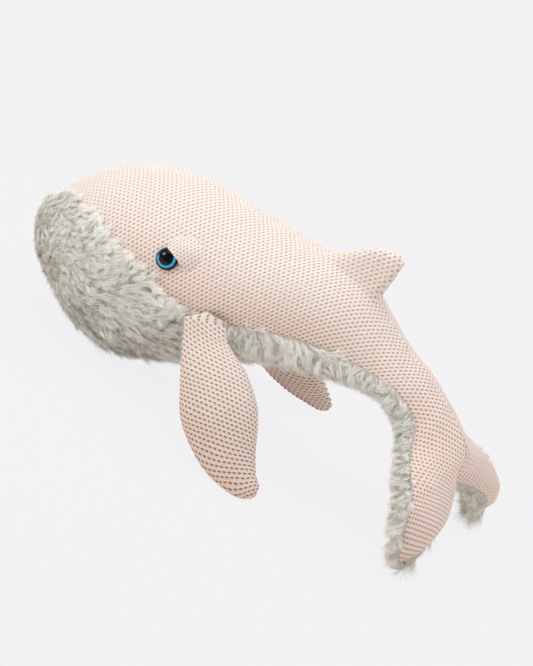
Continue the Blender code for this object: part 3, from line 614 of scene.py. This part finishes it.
def scatter(first, last):
    """Roots spread evenly over the fur's area: their places and shares down from the seam."""
    places = np.linspace(first, last, 240)
    shares = np.linspace(0, 1, 90)
    seam = seam_at(places)[:, None]
    points = body_points(places, seam + (1 - seam) * shares[None, :], fin=False)
    area = np.linalg.norm(np.cross(np.diff(points, axis=0)[:, :-1], np.diff(points, axis=1)[:-1]),
                          axis=2)
    count = int(area.sum() * 1e6 * STRANDS_PER_MM2)
    cell = rng.choice(area.size, count, p=(area / area.sum()).ravel())
    row, col = np.divmod(cell, area.shape[1])
    step = (places[1] - places[0], shares[1] - shares[0])
    places = places[row] + rng.random(count) * step[0]
    shares = np.clip(shares[col] + rng.random(count) * step[1], 0, 1)
    keep = (shares < BARE_EDGE_SHARE) | (places < FLUKE_START + 1)
    return places[keep], shares[keep]


def comb(points, normals, places, arounds, shares):
    """Which way the pile lies, and how flat: back along the body and over the seam."""
    about = (body_points(places, (arounds + NORMAL_STEP)[:, None], fin=False)
             - body_points(places, (arounds - NORMAL_STEP)[:, None], fin=False))[:, 0]
    about /= np.maximum(np.linalg.norm(about, axis=1), 1e-9)[:, None]
    face = np.interp(shares, *FACE_COMB)
    belly = np.interp(shares, *BELLY_COMB)
    fluke = np.interp(shares, *FLUKE_COMB)
    behind = np.clip(places - CHIN_END + 0.5, 0, 1)
    at_fluke = np.clip(places - FLUKE_START + 1, 0, 1)
    away = face + (belly - face) * behind
    away = away + (fluke - away) * at_fluke
    back = np.stack([1.0 - 0.5 * behind - 0.25 * at_fluke, 0 * places, 0.60 - 0.68 * behind], 1)
    way = back + about * away[:, None]
    swirl = np.stack([np.sin(points[:, 2] * 95 + points[:, 0] * 40),
                      np.sin(points[:, 0] * 80 + points[:, 2] * 50) * 0.6,
                      np.cos(points[:, 0] * 105 - points[:, 2] * 60)], 1)
    way = way + swirl * (SWIRL_SHARE - SWIRL_LESS_AT_FLUKE * at_fluke)[:, None]
    way /= np.linalg.norm(way, axis=1)[:, None]
    way -= (way * normals).sum(1)[:, None] * normals
    flat = np.linalg.norm(way, axis=1)
    return way / flat[:, None], flat


def fur(name, sign, first, last):
    """Strands as narrow pointed ribbons, gathered toward the middle strand of their tuft."""
    places, shares = scatter(first, last)
    seam = seam_at(places)
    arounds = np.clip(seam + (1 - seam) * shares, 0.001, 0.999)
    roots = body_points(places, arounds[:, None], fin=False)[:, 0]
    normals = body_normals(places, arounds[:, None], fin=False)[:, 0]
    way, flat = comb(roots, normals, places, arounds, shares)
    count = len(roots)
    tufts = rng.choice(count, max(int(count / (STRANDS_PER_MM2 * TUFT_SPACING**2 * 1e6)), 1),
                       replace=False)
    tree = KDTree(len(tufts))
    for index, tuft in enumerate(tufts):
        tree.insert(roots[tuft], index)
    tree.balance()
    of_tuft = np.array([tree.find(root)[1] for root in roots])
    wild = 1 + 0.8 * np.clip(places[tufts] - CHIN_END + 0.5, 0, 1)
    heading = rng.normal(0, HEADING_SPREAD, len(tufts)) * wild
    size = rng.uniform(*TUFT_SIZES, len(tufts))
    phase = rng.uniform(0, 2 * np.pi, len(tufts))
    sway = rng.uniform(*TUFT_SWAY, len(tufts)) * wild
    curl = rng.uniform(*TUFT_CURL, len(tufts))
    lift_turn = rng.normal(0, LIFT_SPREAD, len(tufts))
    shade = rng.normal(1.05, SHADE_SPREAD, len(tufts))
    pile = pile_at(places, shares)

    def curve(base, normal, lie, tuft, length, height, t):
        """Where a strand has got to at a share t of its length, bent the way its tuft is."""
        side = np.cross(normal, lie)
        cos, sin = np.cos(heading[tuft]), np.sin(heading[tuft])
        lie = lie * cos[:, None] + side * sin[:, None]
        side = np.cross(normal, lie)
        start = np.radians(STRAND_START + lift_turn[tuft])
        finish = np.radians(STRAND_FINISH + lift_turn[tuft])
        angle = start + (finish - start) * t
        rise = (np.sin(angle) - np.sin(start)) / (finish - start)
        run = (np.cos(start) - np.cos(angle)) / (finish - start)
        wave = np.sin(phase[tuft] + t * curl[tuft]) - np.sin(phase[tuft])
        lift = rise * height + np.cos(phase[tuft] + t * curl[tuft]) * sway[tuft] * height * t * 0.5
        return (base + normal * lift[:, None] + lie * (run * length)[:, None]
                + side * (wave * sway[tuft] * length * t**0.7)[:, None])

    own = rng.uniform(*STRAND_SIZES, count)
    stray = rng.normal(0, STRAY_SPREAD, (count, 3))
    scale = pile / PILE
    least = 0.45 - 0.37 * np.clip(places - FLUKE_START + 1, 0, 1)
    length = STRAND_LENGTH * size[of_tuft] * own * (least + (1 - least) * scale)
    length = length * np.clip(0.5 + 0.7 * flat, 0, 1)
    height = STRAND_LENGTH * scale * np.clip(size[of_tuft], 0.8, 1.0)
    trailing = np.clip((shares - 0.75) / 0.2, 0, 1) * np.clip(places - FLUKE_START, 0, 1)
    at_tip = np.clip(places - TIP + 1.3, 0, 1)
    height = height * (1 - 0.6 * trailing)
    length = length * (1 - 0.68 * trailing) * (1 - 0.30 * at_tip)
    stray = stray * (1 - 0.8 * np.maximum(trailing, at_tip))[:, None]
    centre = tufts[of_tuft]
    gathered = TUFT_GATHER_SHARE * rng.uniform(0.2, 1.2, count)
    gathered[rng.random(count) < LOOSE_SHARE] = 0.08
    gathered = gathered * (0.35 + 0.65 * np.clip(shares / 0.12, 0, 1))
    rings = []
    for t in STRAND_STEPS:
        mine = curve(roots, normals, way, of_tuft, length, height, t)
        guide = curve(roots[centre], normals[centre], way[centre], of_tuft,
                      length, height, t)
        mine = mine + (guide - mine) * (gathered * t**0.8)[:, None]
        rings.append(mine + stray * (length * t**2)[:, None])
    middle = np.array(rings)
    middle[..., 2] = np.maximum(middle[..., 2], FLOOR_LIFT)
    tangent = np.gradient(middle, axis=0)
    facing = normals + rng.normal(0, 0.45, normals.shape)
    side = np.cross(tangent, facing[None])
    side /= np.maximum(np.linalg.norm(side, axis=2), 1e-12)[..., None]
    width = STRAND_WIDTH * rng.uniform(0.7, 1.3, count)
    verts = np.zeros((count, 9, 3))
    for k, taper in enumerate(STRAND_TAPER):
        verts[:, 2 * k] = middle[k] - side[k] * (width * taper)[:, None]
        verts[:, 2 * k + 1] = middle[k] + side[k] * (width * taper)[:, None]
    verts[:, 8] = middle[4]
    verts[..., 2] = np.maximum(verts[..., 2], FLOOR_LIFT)
    tone = shade[of_tuft] * rng.normal(1.0, 0.06, count)
    # Painted light: strands near the seam are made lighter, standing for the light on the fur's
    # upper edge.
    tone = tone * (1 + 0.08 * np.clip(1 - shares / 0.15, 0, 1))
    # Painted shade: the fur is made darker lower down the body, toward the belly.
    under = np.clip((shares - 0.30) / 0.55, 0, 1) * np.clip(FLUKE_START - places, 0, 1)
    tone = tone * (1 - 0.17 * under)
    tone = tone * np.interp(places, *TONE_ALONG)
    strands(name, to_side(verts, sign), tone)


STRAND_FACES = ((0, 1, 3), (0, 3, 2), (2, 3, 5), (2, 5, 4), (4, 5, 7), (4, 7, 6), (6, 7, 8))


def strands(name, verts, tone):
    """One mesh of all the strands, whose map holds each one's tone and its root-to-tip run."""
    count = len(verts)
    mesh = bpy.data.meshes.new(name)
    faces = (np.arange(count)[:, None, None] * 9 + np.array(STRAND_FACES)[None]).reshape(-1, 3)
    mesh.vertices.add(count * 9)
    mesh.vertices.foreach_set("co", verts.astype(np.float32).ravel())
    mesh.loops.add(faces.size)
    mesh.loops.foreach_set("vertex_index", faces.astype(np.int32).ravel())
    mesh.polygons.add(len(faces))
    mesh.polygons.foreach_set("loop_start", np.arange(0, faces.size, 3, dtype=np.int32))
    mesh.update(calc_edges=True)
    heights = np.repeat(np.array(STRAND_STEPS), 2)[:9]
    uv = np.stack([np.repeat(np.clip(tone, 0.0, 1.3), 9), np.tile(heights, count)], 1)
    layer = mesh.uv_layers.new(name="OFBake")
    layer.data.foreach_set("uv", uv[faces.ravel()].astype(np.float32).ravel())
    mesh.shade_smooth()
    mesh.materials.append(FUR)
    piece = bpy.data.objects.new(name, mesh)
    bpy.context.scene.collection.objects.link(piece)
    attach(piece, "whale")


for side_name, sign in SIDES:
    underfur("chin_underfur_" + side_name, sign, END_CLEAR, CHIN_END, "chin_panel")
    underfur("belly_underfur_" + side_name, sign, CHIN_END, FLUKE_START, "belly_panel")
    underfur("fluke_underfur_" + side_name, sign, FLUKE_START, KNIT_END,
             "fluke_underside_" + side_name)
    for name, first, last in FUR_SPANS:
        fur(name + "_" + side_name, sign, first, last)

# The flippers: each is a flat paddle of two knit panels seamed round the edge, lightly
# stuffed, closed flat at the root and sewn into the flank seam, where it swings.
FLIPPER_WIDTH = 0.070
FLIPPER_DEPTH = 0.035
FLIPPER_ROOT_X = -0.0342
FLIPPER_ROOT_Y = 0.0840
FLIPPER_ROOT_Z = 0.1076
FLIPPER_REACH = 0.131
FLIPPER_SPREAD = 0.0545
FLIPPER_DROP = 0.1008
ROOT_TUCK = 0.0062
TUCK_WAY = np.array([0.40, 0.40, 0.82])
LEAD_TUCK = 1.1
ROOT_BLEND = 0.016
EDGE_SEAM_DEPTH = 0.0006
EDGE_SEAM_WIDTH = 0.0013
FLIPPER_COLUMNS = 96
# How far back, out and down, then half width, half depth and twist
LEFT_FLIPPER_SHARES = (
    (0.000, 0.000, 0.000, 0.270, 0.14, 0.00),
    (0.089, 0.116, 0.148, 0.310, 0.22, 0.25),
    (0.288, 0.371, 0.356, 0.440, 0.40, 0.85),
    (0.460, 0.577, 0.568, 0.500, 0.50, 1.00),
    (0.650, 0.753, 0.793, 0.390, 0.42, 1.00),
    (0.827, 0.870, 0.920, 0.240, 0.27, 1.00),
    (0.951, 0.905, 0.955, 0.125, 0.15, 1.00),
    (0.989, 0.900, 0.965, 0.000, 0.00, 1.00),
)
RIGHT_FLIPPER_SHARES = (
    (0.000, 0.000, 0.000, 0.270, 0.14, 0.00),
    (0.055, 0.245, 0.216, 0.310, 0.22, 0.25),
    (0.145, 0.440, 0.474, 0.440, 0.40, 0.60),
    (0.273, 0.526, 0.688, 0.500, 0.45, 0.70),
    (0.422, 0.670, 0.832, 0.390, 0.38, 0.70),
    (0.563, 0.817, 0.932, 0.240, 0.25, 0.70),
    (0.651, 0.895, 0.987, 0.125, 0.14, 0.70),
    (0.678, 0.900, 1.000, 0.000, 0.00, 0.70),
)
ROOT_LINE = np.array(Vector((0.948, 0.170, 0.266)).normalized())
BLADE_LINE = np.array(Vector((0.677, 0.428, 0.603)).normalized())


def flipper_points(table, place, turn):
    """Left-side points: turn 0 is the trailing edge, a half turn the leading edge."""
    row = smooth(table, place)
    size = np.array([FLIPPER_REACH, -FLIPPER_SPREAD, -FLIPPER_DROP])
    centre = np.array([FLIPPER_ROOT_X, -FLIPPER_ROOT_Y, FLIPPER_ROOT_Z]) + row[:, 0:3] * size
    ahead = np.clip(place - 0.05, 0, len(table) - 1.1)
    run = (smooth(table, ahead + 0.1)[:, 0:3] - smooth(table, ahead)[:, 0:3]) * size
    run /= np.linalg.norm(run, axis=1)[:, None]
    twist = row[:, 5:6]
    square = BLADE_LINE - (run @ BLADE_LINE)[:, None] * run
    square /= np.linalg.norm(square, axis=1)[:, None]
    across = ROOT_LINE * (1 - twist) + square * twist
    across /= np.linalg.norm(across, axis=1)[:, None]
    outward = np.cross(run, across)
    outward /= np.linalg.norm(outward, axis=1)[:, None]
    wide = np.maximum(row[:, 3] * FLIPPER_WIDTH, 0)[:, None]
    thick = np.maximum(row[:, 4] * FLIPPER_DEPTH, 0)[:, None]
    return (centre[:, None] + across[:, None] * (wide * np.cos(turn))[..., None]
            + outward[:, None] * (thick * np.sin(turn))[..., None]), run


def flipper_panel(side_name, panel, sign, table, first, last):
    """One face of a flipper, with its root drawn in and tucked up against the flank."""
    fine = np.linspace(0, len(table) - 1.02, 300)
    line = flipper_points(table, fine, np.zeros((300, 1)))[0][:, 0]
    run = np.concatenate([[0], np.cumsum(np.linalg.norm(np.diff(line, axis=0), axis=1))])
    rows = int(run[-1] / KNIT_PITCH)
    places = np.interp(np.linspace(0, run[-1], rows), run, fine)
    turn = np.tile(np.linspace(first, last, FLIPPER_COLUMNS), (rows, 1))
    points, along = flipper_points(table, places, turn)
    tuck = np.arange(ROOT_TUCK, 0, -KNIT_PITCH)[:, None, None]
    lead = (1 - np.cos(turn[:1]))[..., None] / 2
    root = points[:1] + TUCK_WAY * tuck * (1 + LEAD_TUCK * lead)
    middle = (points[:1, :1] + points[:1, -1:]) / 2
    root = root + (middle - points[:1]) * (tuck / ROOT_TUCK) * (0.2 + 0.4 * lead)
    points = np.concatenate([root, points])
    length = np.concatenate([-tuck[:, 0, 0], np.linspace(0, run[-1], rows)])[:, None]
    step = np.linalg.norm(np.diff(points, axis=1), axis=2)
    arc = np.concatenate([np.zeros((len(points), 1)), np.cumsum(step, axis=1)], 1)
    arc = arc - arc[:, -1:] / 2
    cells = np.stack([(length + 0 * arc) / CELL_LENGTH, -sign * arc / ROW_SPACING], -1)
    to_edge = np.minimum(arc - arc[:, :1], arc[:, -1:] - arc)
    relief = knit_relief(cells) * np.clip(to_edge / EDGE_SEAM_WIDTH / 2, 0, 1)
    relief = relief - EDGE_SEAM_DEPTH * np.exp(-(to_edge / EDGE_SEAM_WIDTH)**2)
    points = points - grid_normals(points) * relief[..., None]
    piece = cloth("flipper_" + panel + "_knit_" + side_name, to_side(points, sign), cells,
                  OPEN_SHADED_KNIT)
    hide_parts("flipper_" + panel + "_" + side_name)
    way = along[0] * np.array([1, -sign, 1])
    hinge = np.array([FLIPPER_ROOT_X, sign * FLIPPER_ROOT_Y, FLIPPER_ROOT_Z])
    tuple(hinge - way * ROOT_TUCK)
    tuple(hinge + way * ROOT_BLEND)
    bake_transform(piece)


for side_name, sign in SIDES:
    table = np.array(LEFT_FLIPPER_SHARES if sign < 0 else RIGHT_FLIPPER_SHARES)
    flipper_panel(side_name, "outer", sign, table, 0.0, math.pi)
    flipper_panel(side_name, "inner", sign, table, math.pi, 2 * math.pi)

# The eyes: a domed plastic eye a side, printed behind its clear face with a blue ring and a
# black pupil, in a black cup that is locked through the knit. The ring is painted bright low
# down and darker toward the top, a painted shadow of the lid. The cup has no pattern map, so
# the print's middle, which is the pupil's black, covers all of it.
EYE_RADIUS = 0.0105
EYE_PLACE = 6.69
EYE_AROUND = 0.371
EYE_BASE = 0.0008
EYE_RISE = 0.0078
PUPIL_SHARE = 0.66
RIM_SHARE = 0.90
IRIS_LIT_BLUE = (0.025, 0.420, 0.800)
IRIS_MIDDLE = (0.010, 0.190, 0.430)
IRIS_DARK_PRINT_AND_SHADE = (0.002, 0.009, 0.034)
EYE_BLACK = (0.001, 0.001, 0.0015)
SKIRT_STEPS = (0.3, -0.4, -1.6)


def local_frame(place, around):
    """Where a piece sits on the left side: its point, the ways to the tail and up, and out."""
    def point(p, a):
        return body_points(np.array([p]), np.array([[a]]), fin=False)[0, 0]
    tail = point(place + 0.05, around) - point(place - 0.05, around)
    down = point(place, around + 0.01) - point(place, around - 0.01)
    out = np.cross(down, tail)
    out /= np.linalg.norm(out)
    tail /= np.linalg.norm(tail)
    return point(place, around), tail, np.cross(out, tail), out


def eye_height(radius):
    """Height of the eye's dome over the knit at a distance from its middle."""
    share = np.clip(radius / EYE_RADIUS, 0, 1)
    return EYE_BASE + EYE_RISE * np.sqrt(1 - share**2 * 0.97)


def eye_finish():
    """A black pupil and rim, and between them a blue ring painted bright low down and darker
    toward the top, as the lid's shadow.
    """
    look = Finish("printed_eye", Roughness=0.05, Specular_IOR_Level=0.34)
    across, up = look.pattern("pattern")
    far = (across ** 2.0 + up ** 2.0) ** 0.5
    # Painted light and shade: the ring is lit low down and painted dark toward the top, where the
    # lid's shadow falls.
    light = ((across * 0.35 - up * 0.94) / (far + 0.001)).between(-0.9, 0.3)
    iris = look.blend(light, IRIS_DARK_PRINT_AND_SHADE, IRIS_MIDDLE)
    iris = look.blend((light - 0.35).between(0.0, 0.5), iris, IRIS_LIT_BLUE)
    ring = far.between(RIM_SHARE - 0.10, RIM_SHARE - 0.02)
    iris = look.blend(ring, iris, IRIS_DARK_PRINT_AND_SHADE)
    iris = look.blend(far.between(RIM_SHARE - 0.01, RIM_SHARE + 0.01), iris, EYE_BLACK)
    inside = 1.0 - far.between(PUPIL_SHARE - 0.012, PUPIL_SHARE + 0.012)
    look.set(Base_Color=look.blend(inside, iris, EYE_BLACK))
    return look.material


EYE = eye_finish()


def eye(side_name, sign):
    at, tail, up, out = local_frame(EYE_PLACE, EYE_AROUND)
    radii = np.linspace(0, 1, 34)
    turns = np.linspace(0, 2 * np.pi, 97)
    across = radii[:, None] * np.cos(turns) * EYE_RADIUS
    rise = radii[:, None] * np.sin(turns) * EYE_RADIUS
    height = np.tile(eye_height(radii * EYE_RADIUS)[:, None], (1, len(turns)))
    skirt = np.array(SKIRT_STEPS)[:, None] * np.ones(len(turns)) * EYE_BASE
    grid = at + tail * across[..., None] + up * rise[..., None] + out * height[..., None]
    wall = (at + tail * across[-1][None, :, None] + up * rise[-1][None, :, None]
            + out * skirt[..., None])
    coordinates = np.stack([across, rise], -1) / EYE_RADIUS
    points = np.concatenate([grid, wall])
    edge = np.tile(coordinates[-1:], (len(SKIRT_STEPS), 1, 1))
    coordinates = np.concatenate([coordinates, edge])
    piece = cloth("eye_" + side_name, to_side(points, sign), coordinates, EYE)
    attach(piece, "whale")
    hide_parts("eye_lens_" + side_name, "eye_iris_" + side_name,
                "eye_pupil_" + side_name)


for side_name, sign in SIDES:
    eye(side_name, sign)
    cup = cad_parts["eye_cup_" + side_name]
    cup.data.materials.clear()
    cup.data.materials.append(EYE)

# The eyelids: a padded round of finer knit behind and above each eye. Its front edge is
# turned under along a straight fold that comes down over the eye.
LID_PLACE = 6.93
LID_AROUND = 0.331
LID_RADIUS = 0.0172
LID_RISE = 0.0070
LID_CELL_SHARE = 0.80
LID_CLEAR = 0.0007
FOLD_DISTANCE = 0.0063
FOLD_TURN = math.radians(65)
FOLD_SOFT = 0.0022
SKIN_STEP = 0.35
SKIN_STEP_AROUND = 0.05


def eyelid(side_name, sign):
    at, tail, up, out = local_frame(LID_PLACE, LID_AROUND)
    eye_at, eye_tail, eye_up, _ = local_frame(EYE_PLACE, EYE_AROUND)
    radii = np.linspace(0, 1, 60)
    turns = np.linspace(0, 2 * np.pi, 200)
    across = radii[:, None] * np.cos(turns) * LID_RADIUS
    rise = radii[:, None] * np.sin(turns) * LID_RADIUS
    flat = at + tail * across[..., None] + up * rise[..., None]
    fold_way = eye_tail * math.cos(FOLD_TURN) + eye_up * math.sin(FOLD_TURN)
    past = FOLD_DISTANCE - (flat - eye_at) @ fold_way
    near_eye = np.hypot((flat - eye_at) @ eye_tail, (flat - eye_at) @ eye_up)
    over = np.clip(past, 0, None)
    shifted = flat + fold_way * over[..., None]
    toward = np.array([(eye_at - at) @ tail, (eye_at - at) @ up])
    toward /= np.linalg.norm(toward)
    facing = np.clip(np.cos(turns) * toward[0] + np.sin(turns) * toward[1], 0, 1)[None, :]
    dome = LID_RISE * np.clip(1 - radii[:, None]**2, 0, 1)**(1.15 - 0.55 * facing)
    eye_top = eye_height(near_eye) + LID_CLEAR + 0 * across
    eye_top = np.where(near_eye < EYE_RADIUS * 1.12, eye_top, 0)
    base = surface_height(shifted, at, tail, up, out)
    height = np.maximum(dome, eye_top * np.clip(1 - over / FOLD_SOFT, 0, 1))
    height = height - np.clip(over, 0, FOLD_SOFT * 2.5) * 0.9
    points = shifted + out * (base + height)[..., None]
    turned = np.stack([across / CELL_LENGTH, -rise / ROW_SPACING], -1) / LID_CELL_SHARE
    normal = -grid_normals(points)
    soft = np.clip((1 - radii[:, None]) * 12, 0, 1) * np.clip(1 - over / FOLD_SOFT, 0, 1)
    points = points + normal * (knit_relief(turned) * 0.7 * soft)[..., None]
    piece = cloth("eyelid_knit_" + side_name, to_side(points, sign), turned, FINE_KNIT)
    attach(piece, "whale")
    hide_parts("eyelid_" + side_name, "eyelid_wadding_" + side_name)


def surface_height(points, at, tail, up, out):
    """How far the body's skin drops away, along out, from the flat plane at a place."""
    drop_tail = curvature(LID_PLACE, LID_AROUND, tail, out, True)
    drop_up = curvature(LID_PLACE, LID_AROUND, up, out, False)
    a = (points - at) @ tail
    b = (points - at) @ up
    return drop_tail * a**2 + drop_up * b**2


def curvature(place, around, way, out, lengthwise):
    """How fast the skin drops away from its tangent plane, along the body or across it."""
    def point(p, a):
        return body_points(np.array([p]), np.array([[a]]), fin=False)[0, 0]
    here = point(place, around)
    drops = []
    for step in (-1, 1):
        there = (point(place + step * SKIN_STEP, around) if lengthwise
                 else point(place, around + step * SKIN_STEP_AROUND))
        drops.append(((there - here) @ out) / max(((there - here) @ way)**2, 1e-9))
    return float(np.mean(drops))


for side_name, sign in SIDES:
    eyelid(side_name, sign)

# The filling: loose white polyester fibre inside every part, which no opening shows. The
# washers that lock the eyes lie hidden in it and share its white.
FILLING_GREY = (0.78, 0.78, 0.76)
FILLING_WHITE = (0.90, 0.90, 0.88)


def filling_finish():
    look = Finish("polyester_fibre", Roughness=1.0)
    tuft = look.noise(70.0, 6.0)
    look.set(Base_Color=look.blend(tuft, FILLING_GREY, FILLING_WHITE))
    look.bump(tuft, 0.003, 0.6)
    return look.material


FILLING = filling_finish()
for name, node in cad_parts.items():
    if "stuffing" in name or "wadding" in name or "washer" in name:
        node.data.materials.clear()
        node.data.materials.append(FILLING)

# The studio: a pale sweep under soft light from the upper left of the view, and a camera
# that is tipped, so that the whale seems to dive across the frame.
BACKGROUND = (0.8880, 0.8880, 0.9047)
CAMERA_AZIMUTH = math.radians(14.4)
CAMERA_ELEVATION = math.radians(22.2)
CAMERA_ROLL = math.radians(27.0)
CAMERA_TARGET = Vector((0.0008, 0.0, 0.0958))
CAMERA_DISTANCE = 6.0
CAMERA_LENS = 348.6
SKY = (0.95, 0.96, 1.0)
SKY_LIGHT = 0.70
SKY_IN_GLOSS = 0.25
PAPER = (0.98, 0.86, 0.77)
PAPER_SEEN_GLOW = 0.95
PAPER_GLOW = 0.28
FLOOR_HALF = 6.0

right = Vector((math.cos(CAMERA_AZIMUTH), math.sin(CAMERA_AZIMUTH), 0))
back = Vector((math.sin(CAMERA_AZIMUTH) * math.cos(CAMERA_ELEVATION),
               -math.cos(CAMERA_AZIMUTH) * math.cos(CAMERA_ELEVATION),
               math.sin(CAMERA_ELEVATION)))
level_up = back.cross(right)
view_right = right * math.cos(CAMERA_ROLL) + level_up * math.sin(CAMERA_ROLL)
view_up = level_up * math.cos(CAMERA_ROLL) - right * math.sin(CAMERA_ROLL)
camera = bpy.data.objects.new("camera", bpy.data.cameras.new("camera"))
camera.data.lens = CAMERA_LENS
camera.matrix_world = (Matrix.Translation(CAMERA_TARGET + back * CAMERA_DISTANCE)
                       @ Matrix((view_right, view_up, back)).transposed().to_4x4())
bpy.context.scene.collection.objects.link(camera)
bpy.context.scene.camera = camera


def lamp(name, way, distance, size, power):
    light = bpy.data.lights.new(name, "AREA")
    light.size = size
    light.energy = power
    piece = bpy.data.objects.new(name, light)
    piece.location = CAMERA_TARGET + way.normalized() * distance
    piece.rotation_mode = "QUATERNION"
    piece.rotation_quaternion = way.normalized().to_track_quat("Z", "Y")
    bpy.context.scene.collection.objects.link(piece)


lamp("key_lamp", view_up * 1.2 + view_right * 0.25 + back * 0.4, 1.0, 0.8, 3.3)
lamp("head_lamp", back * 0.5 - view_right * 0.55 + view_up * 0.68, 1.4, 0.44, 4.6)
lamp("tail_lamp", view_right * 1.0 + view_up * 0.5 + back * 0.35, 1.4, 0.8, 4.3)

world = bpy.data.worlds.new("studio")
bpy.context.scene.world = world
world.use_nodes = True
sky = world.node_tree.nodes["Background"]
sky.inputs["Color"].default_value = (*SKY, 1.0)
sky_rays = world.node_tree.nodes.new("ShaderNodeLightPath")
flag = world.node_tree.nodes.new("ShaderNodeMath")
flag.operation = "MULTIPLY_ADD"
flag.inputs[1].default_value = SKY_IN_GLOSS - SKY_LIGHT
flag.inputs[2].default_value = SKY_LIGHT
world.node_tree.links.new(sky_rays.outputs["Is Glossy Ray"], flag.inputs[0])
world.node_tree.links.new(flag.outputs[0], sky.inputs["Strength"])

floor_mesh = bpy.data.meshes.new("floor")
floor_form = bmesh.new()
bmesh.ops.create_grid(floor_form, x_segments=1, y_segments=1, size=FLOOR_HALF)
floor_form.to_mesh(floor_mesh)
floor_form.free()
floor = bpy.data.objects.new("floor", floor_mesh)
bpy.context.scene.collection.objects.link(floor)
paper = Finish("pale_paper", Base_Color=PAPER, Roughness=1.0)
glow = paper.node("ShaderNodeEmission", None, {"Color": BACKGROUND, "Strength": 1.0})
rays = paper.tree.nodes.new("ShaderNodeLightPath")
seen = Thread(paper, rays.outputs["Is Camera Ray"])
shown = paper.node("ShaderNodeMixShader", None, {
    0: seen * (PAPER_SEEN_GLOW - PAPER_GLOW) + PAPER_GLOW,
    1: Thread(paper, paper.shader.outputs[0]), 2: glow})
paper.tree.links.new(shown.socket, paper.tree.nodes["Material Output"].inputs["Surface"])
floor_mesh.materials.append(paper.material)

bpy.context.scene.view_settings.view_transform = "Standard"
